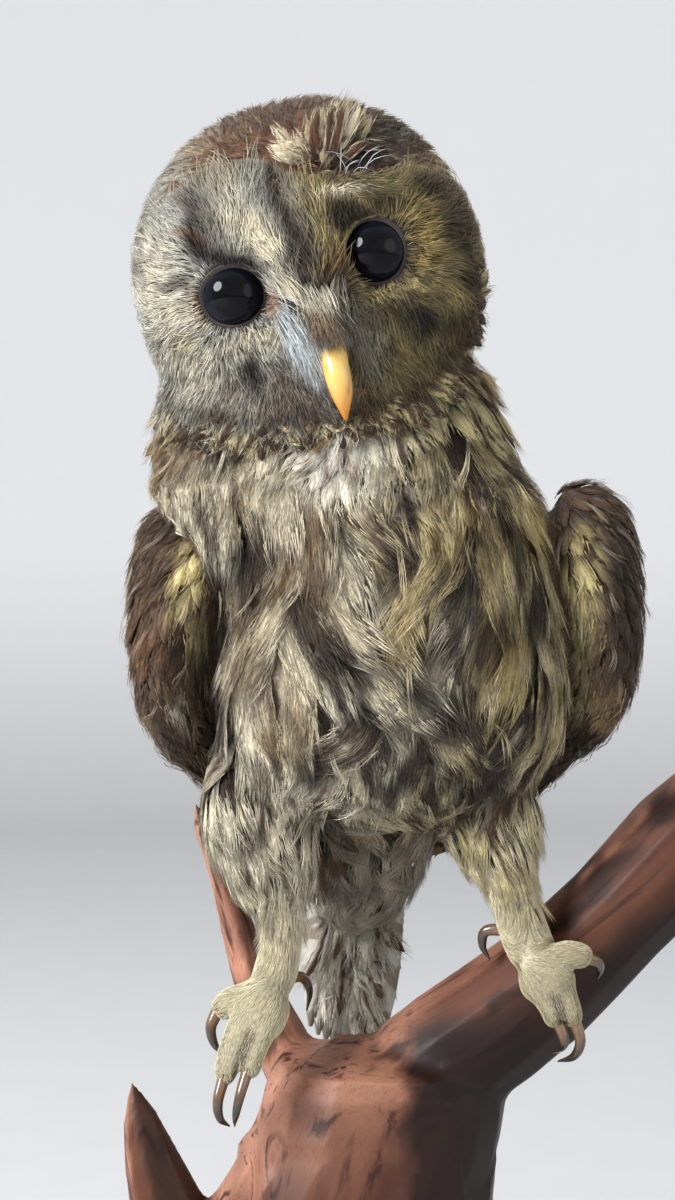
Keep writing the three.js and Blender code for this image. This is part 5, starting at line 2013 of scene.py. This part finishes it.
def wood_tones(verts, normals):
    """How stained or painted with shade, and how much painted highlight, each place of the perch has."""
    x, _, z = verts.T
    ragged = 2.5 * wobble(verts, 25, 71) + 0.8 * wobble(verts * (1, 1, 0.4), 7, 77)
    edges = [np.interp(x + aside + ragged, *zip(*DARK_EDGE)) for aside in (-3, -1.5, 0, 1.5, 3)]
    # the dark region shows on faces turned forward or down and less on those turned up: partly painted shade
    front = ease(-normals[:, 1] - 0.3 * normals[:, 2], -0.5, 0.1)
    soft = 5 + 6 * ease(x, 20, 60)
    shift = 3 * wobble(verts, 30, 72)
    stain = np.mean([ease((edge + shift - z) / soft, -1.0, 1.2) for edge in edges], 0) * front
    # darker towards the bottom of the stump
    stain = np.maximum(stain, 0.55 * ease(z, 128, 60) * ease(wobble(verts, 60, 73), -0.4, 1))
    burnt = marks_at(stir(verts, (14, 74, 2), (9, 75, 1.2)), SCORCHES)
    stain = np.maximum(stain, 0.85 * burnt)
    # painted shade on the side of the prong turned away from the light
    shaded = ease(normals[:, 0], -0.6, 0.0) * ease(x, -48, -56) * ease(z, 90, 108)
    stain = np.maximum(stain, 0.75 * shaded)
    # painted highlight where the varnish catches the light: faces turned left, faces turned up, and the
    # prong's lit side
    left = 0.8 * ease(-normals[:, 0] - 0.35 * np.abs(normals[:, 1]), 0.12, 0.8)
    above = 0.75 * ease(normals[:, 2], 0.0, 0.7) * ease(x, 25, 5) * ease(z, 120, 150)
    prong = 0.9 * ease(x, -36, -44) * ease(z, 178, 192) * ease(normals[:, 0], 0.5, -0.4)
    worn = np.maximum.reduce([left, above, prong]) * (0.8 + 0.2 * wobble(verts, 20, 76)) * (1 - stain)
    return stain, worn


def make_perch():
    """The carved perch, one piece of wood."""
    surface = Surface(*shell("perch", PERCH_NODES))
    verts = cut_wood(surface)
    stain, worn = wood_tones(verts, surface.normals)
    obj = new_object("perch", verts, surface.tris, grain=perch_grain(verts)[1], stain=stain, worn=worn)
    dress(obj, wood_material(), *PERCH_NODES)


# ------------------------------------------------------------------ stage
CAMERA_AT = (-12, -600, 323)
FOCAL_PIXELS = 1818
PICTURE_HEIGHT = 1200
SENSOR_WIDTH = 36
FLOOR_START, FLOOR_RADIUS, FLOOR_BEND, WALL_HEIGHT, FLOOR_AROUND = 300, 2000.0, 500.0, 1900.0, 96
SKY_COLOUR, SKY_STRENGTH = (0.97, 0.98, 1.0, 1), 0.64

# Each light's place and aim in metres, its size, power and colour.
LIGHTS = {
    "key": ((-1.25, -0.95, 1.0), (0, 0, 0.33), 0.8, 44, (0.99, 0.99, 1.0)),
    "fill": ((1.3, -1.0, 0.7), (0, 0, 0.3), 1.2, 4, (1.0, 0.97, 0.92)),
    "top": ((0.1, 0.3, 1.5), (0, 0, 0.3), 1.0, 7, (1, 1, 1)),
}


def make_camera():
    data = bpy.data.cameras.new("camera")
    data.sensor_width = SENSOR_WIDTH
    data.lens = SENSOR_WIDTH * FOCAL_PIXELS / PICTURE_HEIGHT
    camera = link(bpy.data.objects.new("camera", data))
    camera.location = [v * MM for v in CAMERA_AT]
    camera.rotation_euler = (math.radians(90), 0, 0)
    bpy.context.scene.camera = camera


def make_light(name, place, aim, size, power, colour):
    data = bpy.data.lights.new(name, "AREA")
    data.shape = "DISK"
    data.size = size
    data.energy = power
    data.color = colour
    light = link(bpy.data.objects.new(name, data))
    light.location = place
    light.rotation_euler = (Vector(aim) - Vector(place)).to_track_quat("-Z", "Y").to_euler()


def make_stage():
    """A pale floor that curves up into a low round wall, so that every side can be seen against it."""
    bend = np.linspace(0, math.pi / 2, 12)
    curve = FLOOR_RADIUS + FLOOR_BEND * np.sin(bend)
    radii = np.concatenate([[FLOOR_START], curve, [FLOOR_RADIUS + FLOOR_BEND]])
    heights = np.concatenate([[0], FLOOR_BEND * (1 - np.cos(bend)), [WALL_HEIGHT]])
    angle = np.linspace(0, 2 * math.pi, FLOOR_AROUND, endpoint=False)
    rings = xyz(radii[:, None] * np.cos(angle), radii[:, None] * np.sin(angle), heights[:, None])
    verts = np.vstack([rings.reshape(-1, 3), (0, 0, 0)])
    middle = [(len(verts) - 1, j, (j + 1) % FLOOR_AROUND) for j in range(FLOOR_AROUND)]
    floor = new_object("floor", verts, np.array(middle + ring_tris(len(radii), FLOOR_AROUND, True)))
    s = Shader("pale_floor")
    grain = s.noise(s.place(), 30.0)
    height = s.add("ShaderNodeSeparateXYZ", {0: s.place()}).outputs["Z"]
    floor_tone = s.mix(grain, srgb(190, 191, 192), srgb(195, 196, 197))
    s.set(Base_Color=s.mix(s.ramp(height, -0.1, 0.5), floor_tone, srgb(238, 239, 240)), Roughness=0.9)
    floor.data.materials.append(s.material)
    for name, settings in LIGHTS.items():
        make_light(name, *settings)
    world = bpy.data.worlds.new("studio")
    bpy.context.scene.world = world
    world.use_nodes = True
    inputs = world.node_tree.nodes["Background"].inputs
    inputs["Color"].default_value = SKY_COLOUR
    inputs["Strength"].default_value = SKY_STRENGTH
    bpy.context.scene.view_settings.view_transform = "Standard"


# ------------------------------------------------------------------ everything together
make_camera()
make_stage()
make_skin()
dress_body()
dress_vent()
dress_crown()
dress_face()
dress_ruff()
dress_legs()
dress_wings()
dress_tail()
for side in SIDES:
    make_eye(side)
    make_lid(side)
make_bill()
make_claws()
make_perch()
